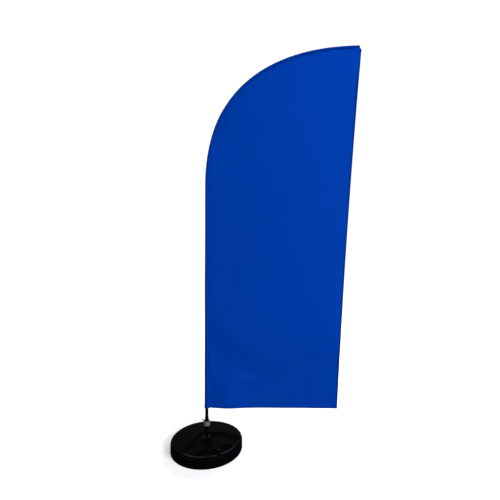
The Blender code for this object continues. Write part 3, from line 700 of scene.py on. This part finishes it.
def make_filler_cap():
    """A screw cap: a plug with one ridge of thread, a head with notches round it, and a bar to turn it by."""
    low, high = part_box("filler_cap")
    x, y = axis_of("filler_cap")
    radius = radius_of("filler_cap")
    head_low, head_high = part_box("cap_seal")[1].z + SMALL, TANK_HEIGHT
    plug = radius - CAP_OVERHANG - SMALL
    root = plug - 0.0005
    lead_in = [(plug - 0.0016, low.z), (plug - 0.0004, low.z + 0.0014), (plug - 0.0004, low.z + 0.0034)]
    ridge = [(plug, low.z + 0.0040), (plug, low.z + 0.0052), (root, low.z + 0.0058)]
    neck = [(root, head_low - 0.0006), (plug, head_low), (radius, head_low)]
    rim = [(radius, head_high - 0.0014), (radius - 0.0004, head_high - 0.0005), (radius - 0.0014, head_high)]
    groove = [
        (radius - 0.0028, head_high), (radius - 0.0031, head_high - 0.0004),
        (radius - 0.0039, head_high - 0.0004), (radius - 0.0042, head_high),
    ]
    profile = [(0, head_high), (0, low.z)] + lead_in + ridge + neck + rim + groove
    cap = lathe("filler_cap_ribbed", profile, 144, (x, y))
    for k in range(CAP_RIBS):
        aside, ahead = polar(radius + 0.0004, 360.0 * (k + 0.5) / CAP_RIBS)
        cut(cap, drill("notch", 0.0012, head_low + 0.001, (x + aside, y + ahead), 24))
    end, half = CAP_BAR_HALF_LENGTH - CAP_BAR_HALF_WIDTH, CAP_BAR_HALF_WIDTH
    outline = arc((x + end, y), half, -90, 90, 12) + arc((x - end, y), half, 90, 270, 12)
    join(cap, prism("bar", outline, head_high - 0.0008, high.z))
    bevel(cap, 0.0004, angle=40)
    keep(cap, "filler_lid", "cap_plastic", "black_plastic", "filler_cap")


def make_post():
    """The threaded stud, the flange that rests in the recess, and the shank."""
    low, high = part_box("post")
    stud, root, flange = STUD_RADIUS, STUD_RADIUS - THREAD_DEPTH, high.x
    flange_low = WEDGE_FLOOR + SMALL
    flange_high = flange_low + FLANGE_THICKNESS
    thread_low, thread_high = low.z + 0.002, flange_low - 0.002
    profile = [(0, high.z), (0, low.z), (stud - 0.0014, low.z), (stud - 0.0003, low.z + 0.0011)]
    for k in range(int((thread_high - thread_low) / THREAD_PITCH)):
        z = thread_low + k * THREAD_PITCH
        profile += [(stud, z), (root, z + THREAD_PITCH / 2)]
    profile += [
        (root, flange_low - 0.001), (root, flange_low), (flange - 0.0004, flange_low),
        (flange, flange_low + 0.0004), (flange, flange_high - 0.001), (flange - 0.0003, flange_high - 0.0003),
        (flange - 0.001, flange_high),
    ]
    profile += arc((POST_RADIUS + POST_FILLET, flange_high + POST_FILLET), POST_FILLET, 270, 180, 8)
    profile += [(POST_RADIUS, high.z - 0.0008), (POST_RADIUS - 0.0008, high.z)]
    keep(lathe("post_turned", profile), "base", "post_paint", "black_steel", "post")
    make_spanner_holes(flange_high)


def make_spanner_holes(top):
    """The raised rims of two spanner holes, opposite each other on the post's flange."""
    inner, outer = 0.0014, 0.0030
    for k in range(2):
        profile = [
            (inner, top - 0.0002), (outer, top - 0.0002), (outer, top + 0.0009),
            (outer - 0.0005, top + 0.0013), (inner + 0.0005, top + 0.0013), (inner, top + 0.0008),
        ]
        rim = lathe(f"spanner_hole_{k + 1}", profile, 40, polar(SPANNER_HOLE_CIRCLE, 90.0 + 180.0 * k))
        keep(rim, "base", "post_paint", "black_steel")


def make_housing():
    """The bright cup that holds the bearing, with turned lines round it."""
    low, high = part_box("bearing_housing")
    radius, corner = high.x, HOUSING_CORNER
    race_low, race_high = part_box("bearing_outer_race")
    seat, seat_low = race_high.x + SMALL, race_low.z - SMALL
    groove, groove_low, groove_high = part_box("retaining_ring")[1].x, race_high.z, high.z - 0.0014
    socket = POST_RADIUS + SMALL
    web_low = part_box("post")[1].z + SMALL
    web_high = web_low + HOUSING_WEB
    web_hole, chamber = 0.003, 0.0085
    lines = []
    for share in HOUSING_LINES:
        z = low.z + (high.z - low.z) * share
        lines += [(radius, z - 0.0005), (radius - 0.0004, z - 0.0002)]
        lines += [(radius - 0.0004, z + 0.0002), (radius, z + 0.0005)]
    profile = [(web_hole, web_high), (web_hole, web_low), (socket, web_low), (socket, low.z + 0.0005)]
    profile += [(socket + 0.0005, low.z)] + arc((radius - corner, low.z + corner), corner, -90, 0, 6)
    profile += lines + arc((radius - corner, high.z - corner), corner, 0, 90, 6)
    profile += [
        (seat + 0.0003, high.z), (seat, high.z - 0.0003), (seat, groove_high), (groove, groove_high),
        (groove, groove_low), (seat, groove_low), (seat, seat_low), (chamber, seat_low), (chamber, web_high),
    ]
    keep(lathe("housing_turned", profile), "base", "housing_silver", "silver_steel", "bearing_housing")


# ---------- bearing and spindle

def make_balls():
    names = sorted(n for n in NODES if n.startswith("bearing_ball_"))
    for k, name in enumerate(names):
        low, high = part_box(name)
        bm = bmesh.new()
        bmesh.ops.create_icosphere(bm, subdivisions=4, radius=(high.z - low.z) / 2)
        bmesh.ops.translate(bm, verts=bm.verts, vec=(low + high) / 2)
        ball = new_object(f"rolling_ball_{k + 1}", bm)
        keep(ball, "ball_set", "bearing_steel", "bearing_steel", name)


def make_spindle():
    """Shaft in the bearing, neck, rest flange and the rod that the pole slides down over."""
    low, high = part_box("spigot")
    race_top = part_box("bearing_inner_race")[1].z + SMALL
    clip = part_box("shaft_circlip")
    clip_low, clip_high = clip[0].z - SMALL, clip[1].z + SMALL / 2
    groove = SHAFT_RADIUS - CLIP_GROOVE
    rest, rest_top = high.x, POLE_FOOT - SMALL
    rest_low = rest_top - REST_THICKNESS
    profile = [
        (0, high.z), (0, low.z), (groove, low.z), (SHAFT_RADIUS, clip_low), (groove, clip_low),
        (groove, clip_high), (SHAFT_RADIUS, clip_high), (SHAFT_RADIUS, race_top),
        (SHOULDER_RADIUS, race_top), (NECK_RADIUS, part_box("bearing_housing")[1].z), (NECK_RADIUS, rest_low),
        (rest - 0.0004, rest_low + 0.0011), (rest, rest_low + 0.0016), (rest, rest_top - 0.0005),
        (rest - 0.0005, rest_top), (ROD_RADIUS, rest_top), (ROD_RADIUS, high.z - 0.0030),
        (ROD_RADIUS - 0.0006, high.z - 0.0014), (ROD_RADIUS - 0.0016, high.z - 0.0004),
        (ROD_RADIUS - 0.0028, high.z),
    ]
    keep(lathe("spindle_turned", profile), "rotor", "post_paint", "black_steel", "spigot")


def make_tie_hook():
    """A ring on the spindle's neck, with an arm to the side and a lip that holds the flag's tie."""
    low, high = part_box("tie_hook")
    inner, outer = HOOK_RADII
    half = HOOK_ARM_HALF
    hook = lathe("tie_hook_moulded", pipe(inner, outer, low.z, low.z + HOOK_RING_HEIGHT), 96)
    join(hook, slab("arm", (low.x, -half, low.z + 0.0005), (-outer + 0.002, half, low.z + 0.003)))
    join(hook, slab("lip", (low.x, -half + SMALL, low.z + 0.001), (low.x + 0.003, half - SMALL, high.z)))
    bevel(hook, 0.0005, angle=35)
    keep(hook, "rotor", "hook_plastic", "black_plastic", "tie_hook")


# ---------- pole

def make_lower_tube():
    low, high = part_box("pole_lower")
    section = pipe(high.x - TUBE_WALL, high.x, low.z, high.z)
    tube = lathe("tube_drawn", softened(section, 0.0004))
    keep(tube, "pole_and_flag", "tube_black", "black_tube", "pole_lower")


def make_foot_ferrule():
    """The metal ring on the pole's foot, with a rolled bead round its middle."""
    low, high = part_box("foot_ferrule")
    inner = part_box("pole_lower")[1].x + SMALL
    middle = (low.z + high.z) / 2
    ferrule = lathe("foot_ferrule_rolled", softened(pipe(inner, high.x, low.z, high.z), 0.0006))
    keep(ferrule, "pole_and_flag", "ferrule_grey", "grey_metal", "foot_ferrule")
    bead_section = arc((high.x - 0.00025, middle), 0.0004, -90, 90, 8) + [(high.x - 0.0006, middle)]
    keep(lathe("foot_ferrule_bead", bead_section, 96), "pole_and_flag", "ferrule_grey", "grey_metal")


# ---------- cloth

COLLAR_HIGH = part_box("pole_middle")[0].z - SMALL
SLEEVE_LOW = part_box("pole_sleeve")[0].z
CUFF_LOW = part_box("sleeve_cuff")[0].z
NARROWED = POLE_FOOT + 1.1317


def carried_radius(distance):
    """The radius of what lies inside the sleeve."""
    return eased(distance, [
        (COLLAR_HIGH, 0.009), (COLLAR_HIGH + 0.01, 0.0084), (COLLAR_HIGH + 0.05, 0.0084),
        (COLLAR_HIGH + 0.10, 0.0065), (COLLAR_HIGH + 0.85, 0.0065), (COLLAR_HIGH + 0.90, 0.0077),
        (COLLAR_HIGH + 1.00, 0.0077), (COLLAR_HIGH + 1.05, 0.0050),
    ])


def half_depth(distance):
    return carried_radius(distance) + 0.0020


def half_width(distance):
    drawn = eased(distance, [
        (SLEEVE_LOW, 0.0126), (COLLAR_HIGH, 0.0112), (NARROWED, 0.0096), (PATH_END, 0.0080),
    ])
    return max(drawn, half_depth(distance))


def pucker(distance, angle):
    """Small creases in the sleeve, deeper round the bend, that never pull it in onto the pole."""
    along = noise.noise(Vector((distance * 38.0, math.cos(angle) * 0.8, 3.1)))
    long_fold = noise.noise(Vector((distance * 6.0, math.cos(angle) * 1.6, math.sin(angle) * 1.6)))
    bend = 0.5 + 0.8 * smooth(distance, BEND_START - 0.1, BEND_START + 0.3)
    return max(0.00042 * along * bend + 0.00050 * long_fold, -0.0004)


def cloth_tube(name, start, end, step, thickness, swell=0.0, shut=False):
    """A tube of cloth round the pole between two distances, with rounded lips, or shut at its end."""
    bm = bmesh.new()
    count = max(int(round((end - start) / step)), 2)
    lip = thickness * 0.35
    places = [start + (end - start) * k / count for k in range(count + 1)]
    places[0] = start + lip
    if not shut:
        places[-1] = end - lip

    def ring(distance, out):
        centre, normal = path_at(distance)
        verts = []
        for k in range(SLEEVE_SIDES):
            angle = 2 * math.pi * k / SLEEVE_SIDES
            grown_out = out + pucker(distance, angle)
            side = -normal * math.cos(angle) * (half_width(distance) + grown_out)
            deep = math.sin(angle) * (half_depth(distance) + grown_out)
            verts.append(bm.verts.new((centre.x + side.x, deep, centre.y + side.y)))
        return verts

    lips = [ring(place, swell - thickness / 2) for place in (start, end)]
    for out in (swell, swell - thickness):
        layer = [ring(place, out) for place in places]
        rings = [lips[0]] + layer + [lips[1]]
        for first, second in zip(rings, rings[1:]):
            bridge(bm, first, second)
        if shut and out == swell:
            bm.faces.new(layer[-1])
    return new_object(name, bm, CLOTH_ANGLE)


# Where the panel's edges run
BOTTOM_LEFT = POLE_FOOT + 0.0582
BOTTOM_RIGHT = Vector((0.7360, POLE_FOOT + 0.0532))
TIP_RIGHT = Vector((BEND_REACH + 0.0095, BEND_START + BEND_RISE - 0.010))
FLY_RISE = TIP_RIGHT.y - BOTTOM_RIGHT.y


def fly_edge(share):
    point = BOTTOM_RIGHT.lerp(TIP_RIGHT, share)
    point.x -= SCALLOP * math.sin(math.pi * share)
    return point


def seam_point(distance):
    centre, normal = path_at(distance)
    return centre - normal * half_width(max(distance, CUFF_LOW))


def flag_row(share):
    """(point on the sleeve's seam, point on the free edge) of a row, from 0 at the hem to 1 at the tip."""
    reached = (BEND_START - BOTTOM_RIGHT.y) / FLY_RISE
    level, curved = BEND_START - BOTTOM_LEFT, PATH_END - BEND_START
    split = level / (level + curved)
    if share <= split:
        part = share / split
        return seam_point(BOTTOM_LEFT + level * part), fly_edge(reached * part)
    part = (share - split) / (1 - split)
    return seam_point(BEND_START + curved * part), fly_edge(reached + (1 - reached) * part)


# Creases in the cloth: the points they run through, (x, z), their half width, and the height of the bump
CREASES = (
    (((0.66, 1.60), (0.48, 1.38)), 0.090, 0.0030),
    (((0.130, 0.18), (0.105, 0.38)), 0.080, 0.0120),
    (((0.10, 1.50), (0.30, 1.72)), 0.045, 0.0025),
    (((0.06, 1.10), (0.14, 0.80)), 0.040, -0.0020),
    (((0.735, 1.02), (0.725, 0.72)), 0.018, 0.0020),
    (((0.20, 2.02), (0.36, 2.10)), 0.030, 0.0014),
    (((0.45, 0.75), (0.30, 1.05)), 0.070, -0.0018),
    (((0.11, 0.43), (0.21, 0.39), (0.32, 0.36)), 0.022, 0.0030),
)

# Leaning bands: the points they run through from left to right, half width, and the step in depth from below
# to above. A negative step leans the cloth's top towards the front there, away from the light.
LEANS = (
    (((0.10, 1.745), (0.34, 1.82), (0.55, 1.95), (0.82, 2.13)), 0.040, -0.0150),
    (((0.06, 0.62), (0.24, 0.485), (0.42, 0.43), (0.64, 0.50), (0.78, 0.56)), 0.050, -0.0110),
)


def nearest_on(points, place):
    """(signed distance off the line through points, share along it), left of the line positive."""
    best = (1e9, 0.0, 0.0)
    count = len(points) - 1
    for k in range(count):
        start, end = Vector(points[k]), Vector(points[k + 1])
        along = end - start
        share = (place - start).dot(along) / along.length_squared
        held = min(max(share, 0.0), 1.0)
        if k in (0, count - 1):
            held = share if (k == 0 and share < 0) or (k == count - 1 and share > 1) else held
        offset = place - (start + along * held)
        side = along.x * offset.y - along.y * offset.x
        if offset.length < best[0]:
            best = (offset.length, math.copysign(offset.length, side), (k + held) / count)
    return best[1], best[2]


def crease_height(place):
    total = 0.0
    for points, half, height in CREASES:
        off, share = nearest_on(points, place)
        ends = smooth(share, -0.35, 0.15) * (1 - smooth(share, 0.85, 1.35))
        total += height * ends * math.exp(-(off / half) ** 2)
    for points, half, step in LEANS:
        off, share = nearest_on(points, place)
        ends = smooth(share, -0.25, 0.10) * (1 - smooth(share, 0.92, 1.15))
        total -= step / 2 * ends * math.tanh(off / half) * math.exp(-(off / (7 * half)) ** 2)
    return total


def cloth_depth(point, across, share):
    """Y of the cloth: the billow, the folds, and slack waves that grow towards the hem."""
    billow = -BILLOW * math.sin(math.pi * across) * math.sin(math.pi * share)
    held = smooth(across, 0.0, 0.06) * (1 - 0.6 * smooth(across, 0.96, 1.0))
    slack = noise.noise(Vector((point.x * 5.0, point.y * 2.2, 7.3)))
    wave = noise.noise(Vector((point.x * 11.0, point.y * 1.6, 1.9)))
    hem = 1 - smooth(share, 0.0, 0.12)
    ripple = 0.0016 * slack + 0.0010 * wave * (0.4 + hem)
    return billow + held * (ripple - crease_height(point))


def flag_point(across, share):
    seam, edge = flag_row(share)
    point = seam.lerp(edge, across)
    return Vector((point.x, cloth_depth(point, across, share), point.y))


def sheet_between(name, columns, rows, place, thickness):
    """A closed thin sheet through place(column share, row share)."""
    bm = bmesh.new()
    grid = [[place(c / columns, r / rows) for c in range(columns + 1)] for r in range(rows + 1)]

    def normal_at(r, c):
        right = grid[r][min(c + 1, columns)] - grid[r][max(c - 1, 0)]
        up = grid[min(r + 1, rows)][c] - grid[max(r - 1, 0)][c]
        return right.cross(up).normalized()

    layers = []
    for side in (1, -1):
        layers.append([
            [bm.verts.new(grid[r][c] + normal_at(r, c) * side * thickness / 2) for c in range(columns + 1)]
            for r in range(rows + 1)
        ])
    for layer in layers:
        for r in range(rows):
            for c in range(columns):
                bm.faces.new([layer[r][c], layer[r][c + 1], layer[r + 1][c + 1], layer[r + 1][c]])
    around = [(0, c) for c in range(columns)] + [(r, columns) for r in range(rows)]
    around += [(rows, c) for c in range(columns, 0, -1)] + [(r, 0) for r in range(rows, 0, -1)]
    for here, there in zip(around, around[1:] + around[:1]):
        bm.faces.new([layers[k][p[0]][p[1]] for k, p in ((0, here), (0, there), (1, there), (1, here))])
    return new_object(name, bm)


def make_flag():
    panel = sheet_between("flag_cloth", FLAG_COLUMNS, FLAG_ROWS, flag_point, FLAG_THICKNESS)
    return keep(panel, "pole_and_flag", "flag_blue", "blue_cloth", "flag_panel")


def fold_strip(name, count, edge_at, width, thickness, look):
    """A hem: cloth folded round an edge, as a flattened loop that follows (point, inward, face) along it."""
    bm = bmesh.new()
    half = thickness / 2
    loop = [(half + x, y) for x, y in arc((0, 0), half, 90, 270, 4)]
    loop += [(width, -thickness * 0.42), (width + thickness * 0.4, 0.0), (width, thickness * 0.42)]
    rings = []
    for k in range(count + 1):
        point, inward, face = edge_at(k / count)
        rings.append([bm.verts.new(point + inward * (a - thickness * 0.2) + face * b) for a, b in loop])
    skin(bm, rings)
    return keep(new_object(name, bm, math.radians(50)), "pole_and_flag", look, "blue_cloth")


def frame_at(across, share):
    """(right, up, normal) of the cloth there, each of length 1."""
    step = 0.004
    right = flag_point(min(across + step, 1.0), share) - flag_point(max(across - step, 0.0), share)
    up = flag_point(across, min(share + step, 1.0)) - flag_point(across, max(share - step, 0.0))
    right.normalize()
    up.normalize()
    return right, up, right.cross(up).normalized()


def on_cloth(across, share):
    """(point, normal) of the cloth."""
    return flag_point(across, share), frame_at(across, share)[2]


def make_hems():
    """The folded hems along the bottom and the free edge, each with a turned edge round it whose dark blue is
    painted shade.
    """
    def bottom(t):
        across = HEM_MARGIN + (1 - 2 * HEM_MARGIN) * t
        right, up, face = frame_at(across, 0.0)
        return flag_point(across, 0.0), (up - right * up.dot(right)).normalized(), face

    def fly(t):
        right, up, face = frame_at(1.0, t)
        return flag_point(1.0, t), (up * right.dot(up) - right).normalized(), face

    return [
        # The hems are a little darker than the flag as painted shade, and their turned edges much darker as
        # painted shade.
        fold_strip("hem_bottom", 160, bottom, HEM_WIDTH, HEM_THICKNESS, "hem_painted_shade_blue"),
        fold_strip("hem_fly", 420, fly, HEM_WIDTH, HEM_THICKNESS, "hem_painted_shade_blue"),
        fold_strip("hem_painted_shade_edge_bottom", 160, bottom, EDGE_WIDTH, EDGE_THICKNESS, "edge_painted_shade_blue"),
        fold_strip("hem_painted_shade_edge_fly", 420, fly, EDGE_WIDTH, EDGE_THICKNESS, "edge_painted_shade_blue"),
    ]


def stitch(bm, start, end, up):
    """One short thread lying from start to end, raised in its middle."""
    along = end - start
    side = along.cross(up).normalized()
    rings = []
    for share, height in ((0.0, 0.0), (0.18, 0.9), (0.5, 1.15), (0.82, 0.9), (1.0, 0.0)):
        centre = start + along * share + up * STITCH_RADIUS * (height - 0.35)
        swell = STITCH_RADIUS * (0.55 if height == 0.0 else 1.0)
        ring = []
        for k in range(STITCH_SIDES):
            aside, above = polar(swell, 360.0 * k / STITCH_SIDES)
            ring.append(bm.verts.new(centre + side * aside + up * above * 0.8))
        rings.append(ring)
    skin(bm, rings)


def stitch_row(name, place, total, rise):
    """Stitches on both faces of the cloth along place(0..1), at that height off the cloth's middle."""
    bm = bmesh.new()
    count = int(total / STITCH_PITCH)
    for k in range(count):
        start, face = place((k + 0.15) / count)
        end, _ = place((k + 0.15 + STITCH_LENGTH / STITCH_PITCH) / count)
        for up in (face, -face):
            stitch(bm, start + up * rise, end + up * rise, up)
    return keep(new_object(name, bm, CLOTH_ANGLE), "pole_and_flag", "thread_blue", "blue_band")


def make_stitching():
    """Two rows of stitches along the hem, and two along the free edge."""
    def bottom(inset):
        return lambda t: on_cloth(0.02 + 0.97 * t, inset / FLY_RISE)

    def fly(inset):
        def place(t):
            share = 0.004 + 0.985 * t
            seam, edge = flag_row(share)
            return on_cloth(1.0 - min(inset / (edge - seam).length, 0.5), share)
        return place

    rise = HEM_THICKNESS * 0.45
    low, high = HEM_STITCHES
    return [
        stitch_row("stitching_hem_low", bottom(low), BOTTOM_RUN, rise),
        stitch_row("stitching_hem_high", bottom(high), BOTTOM_RUN, rise),
        stitch_row("stitching_fly_edge", fly(low), FLY_RUN, rise),
        stitch_row("stitching_fly_inner", fly(high), FLY_RUN, rise),
    ]


def seam_share(t):
    """The flag's row at t along the seam, which stops short of both ends."""
    return 0.002 + 0.975 * t


def seam_place(inset):
    """(point, normal) along the seam, that far into the panel."""
    def place(t):
        share = seam_share(t)
        seam, edge = flag_row(share)
        return on_cloth(min(inset / max((edge - seam).length, 0.02), 0.9), share)
    return place


def make_seam():
    """The allowance where the panel is sewn to the sleeve, and its two rows of stitches."""
    far_edge = seam_place(SEAM_WIDTH)

    def place(c, r):
        seam, _ = flag_row(seam_share(r))
        far, _ = far_edge(r)
        edge = Vector((seam.x, 0.0, seam.y))
        near = edge + (edge - far).normalized() * SEAM_TUCK
        return near.lerp(far, c)

    tape = sheet_between("sleeve_seam", 4, 420, place, SEAM_THICKNESS)
    keep(tape, "pole_and_flag", "seam_blue", "blue_band")
    rise = SEAM_THICKNESS * 0.5
    near, far = SEAM_STITCHES
    return [
        tape,
        stitch_row("stitching_seam_near", seam_place(near), SEAM_RUN, rise),
        stitch_row("stitching_seam_far", seam_place(far), SEAM_RUN, rise),
    ]


def make_sleeve():
    """The tunnel round the pole, the band at its foot and the doubled patch that shuts it at the tip."""
    pocket_low = PATH_END - TIP_POCKET_LENGTH
    sleeve = cloth_tube("sleeve_cloth", SLEEVE_LOW, pocket_low - SMALL, 0.010, 0.0008)
    # The sleeve is coloured darker than the flag as painted shade. The cuff and tip pocket take the hems'
    # painted shade blue.
    keep(sleeve, "pole_and_flag", "sleeve_painted_shade_blue", "blue_band", "pole_sleeve")
    cuff = cloth_tube("cuff_cloth", CUFF_LOW, SLEEVE_LOW - SMALL, 0.003, 0.0013, swell=0.0005)
    keep(cuff, "pole_and_flag", "hem_painted_shade_blue", "blue_band", "sleeve_cuff")
    tip = cloth_tube("tip_pocket_cloth", pocket_low, PATH_END, 0.004, 0.0012, swell=0.0004, shut=True)
    keep(tip, "pole_and_flag", "hem_painted_shade_blue", "blue_band", "tip_pocket")
    return sleeve, cuff, tip


# ---------- CAD nodes that stay

KEPT = {
    "insert_brass": ["threaded_insert"],
    "bearing_steel": [
        "bearing_outer_race", "bearing_inner_race", "bearing_cage", "retaining_ring", "shaft_circlip",
    ],
    "rubber_black": ["cap_seal", "tip_cap"],
    "ferrule_grey": ["ferrule_lower", "ferrule_upper"],
    "rod_black": ["pole_middle", "pole_tip"],
    "water": ["water_ballast"],
}


def dress_kept_nodes():
    for look, names in KEPT.items():
        for name in names:
            mesh = NODES[name].data
            mesh.materials.clear()
            mesh.materials.append(LOOKS[look])
            shade(NODES[name], math.radians(35))


# ---------- stage

def look_at(obj, target):
    direction = Vector(target) - obj.location
    obj.rotation_euler = direction.to_track_quat("-Z", "Y").to_euler()


def area_light(name, place, target, size, power, glossy):
    data = bpy.data.lights.new(name, "AREA")
    data.shape = "RECTANGLE"
    data.size, data.size_y = size
    data.energy = power
    light = added(name, data)
    light.location = place
    look_at(light, target)
    light.visible_camera = False
    light.visible_glossy = glossy


def make_floor():
    """A white ground that glows, less round the base so that its shadow shows. It lights no piece."""
    bm = bmesh.new()
    bmesh.ops.create_circle(bm, cap_ends=True, segments=128, radius=60.0)
    floor = new_object("floor", bm)
    floor.location = (0.3, 0.0, -0.0004)
    tree, shader = principled("floor_paint", (0.80, 0.80, 0.80), 0.9, specular=0.0)
    patches = noise_at(place_in(tree), 0.6, detail=2.0)
    coloured(shader, patches, (1.0, 1.0, 1.0), 0.79, 0.81)
    shader.inputs["Emission Color"].default_value = (1.0, 1.0, 1.0, 1.0)
    distance = node(tree, "ShaderNodeVectorMath", operation="LENGTH")
    link(place_in(tree, location=floor.location), distance.inputs[0])
    glow = ranged(distance.outputs["Value"], *FLOOR_GLOW, *FLOOR_GLOW_REACH)
    link(glow, shader.inputs["Emission Strength"])
    floor.data.materials.append(LOOKS["floor_paint"])
    floor.visible_diffuse = False
    floor.visible_glossy = False


def make_world():
    """White to the camera, dim as a light, and nearly dark in what mirrors it."""
    world = bpy.data.worlds.new("studio")
    world.use_nodes = True
    nodes, links = world.node_tree.nodes, world.node_tree.links
    background = nodes["Background"]
    rays = nodes.new("ShaderNodeLightPath")
    mixes = []
    for ray, level in (("Is Camera Ray", WORLD_SEEN), ("Is Glossy Ray", WORLD_MIRRORED)):
        mix = nodes.new("ShaderNodeMix")
        mix.data_type = "FLOAT"
        mix.inputs[3].default_value = level
        links.new(rays.outputs[ray], mix.inputs[0])
        mixes.append(mix)
    mixes[0].inputs[2].default_value = WORLD_FILL
    links.new(mixes[0].outputs[0], mixes[1].inputs[2])
    links.new(mixes[1].outputs[0], background.inputs["Strength"])
    background.inputs["Color"].default_value = (1.0, 1.0, 1.0, 1.0)
    bpy.context.scene.world = world


def make_camera():
    data = bpy.data.cameras.new("camera")
    data.lens = CAMERA_LENS
    data.shift_x, data.shift_y = CAMERA_SHIFT
    data.clip_end = 200.0
    camera = added("camera", data)
    camera.location = CAMERA_PLACE
    camera.rotation_euler = (math.pi / 2, 0.0, 0.0)
    bpy.context.scene.camera = camera


# ---------- all of it

make_camera()
make_floor()
make_world()
for light, settings in LIGHTS.items():
    area_light(light, *settings)
make_tank()
make_filler_cap()
make_post()
make_housing()
make_balls()
make_spindle()
make_tie_hook()
make_lower_tube()
make_foot_ferrule()
dress_kept_nodes()

sleeve, cuff, tip = make_sleeve()
panel = make_flag()
hems = make_hems()
seam = make_seam()
stitches = make_stitching()

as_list(seam[1:])

bpy.context.scene.view_settings.view_transform = "Standard"
bpy.context.scene.view_settings.look = "None"
bpy.context.view_layer.update()
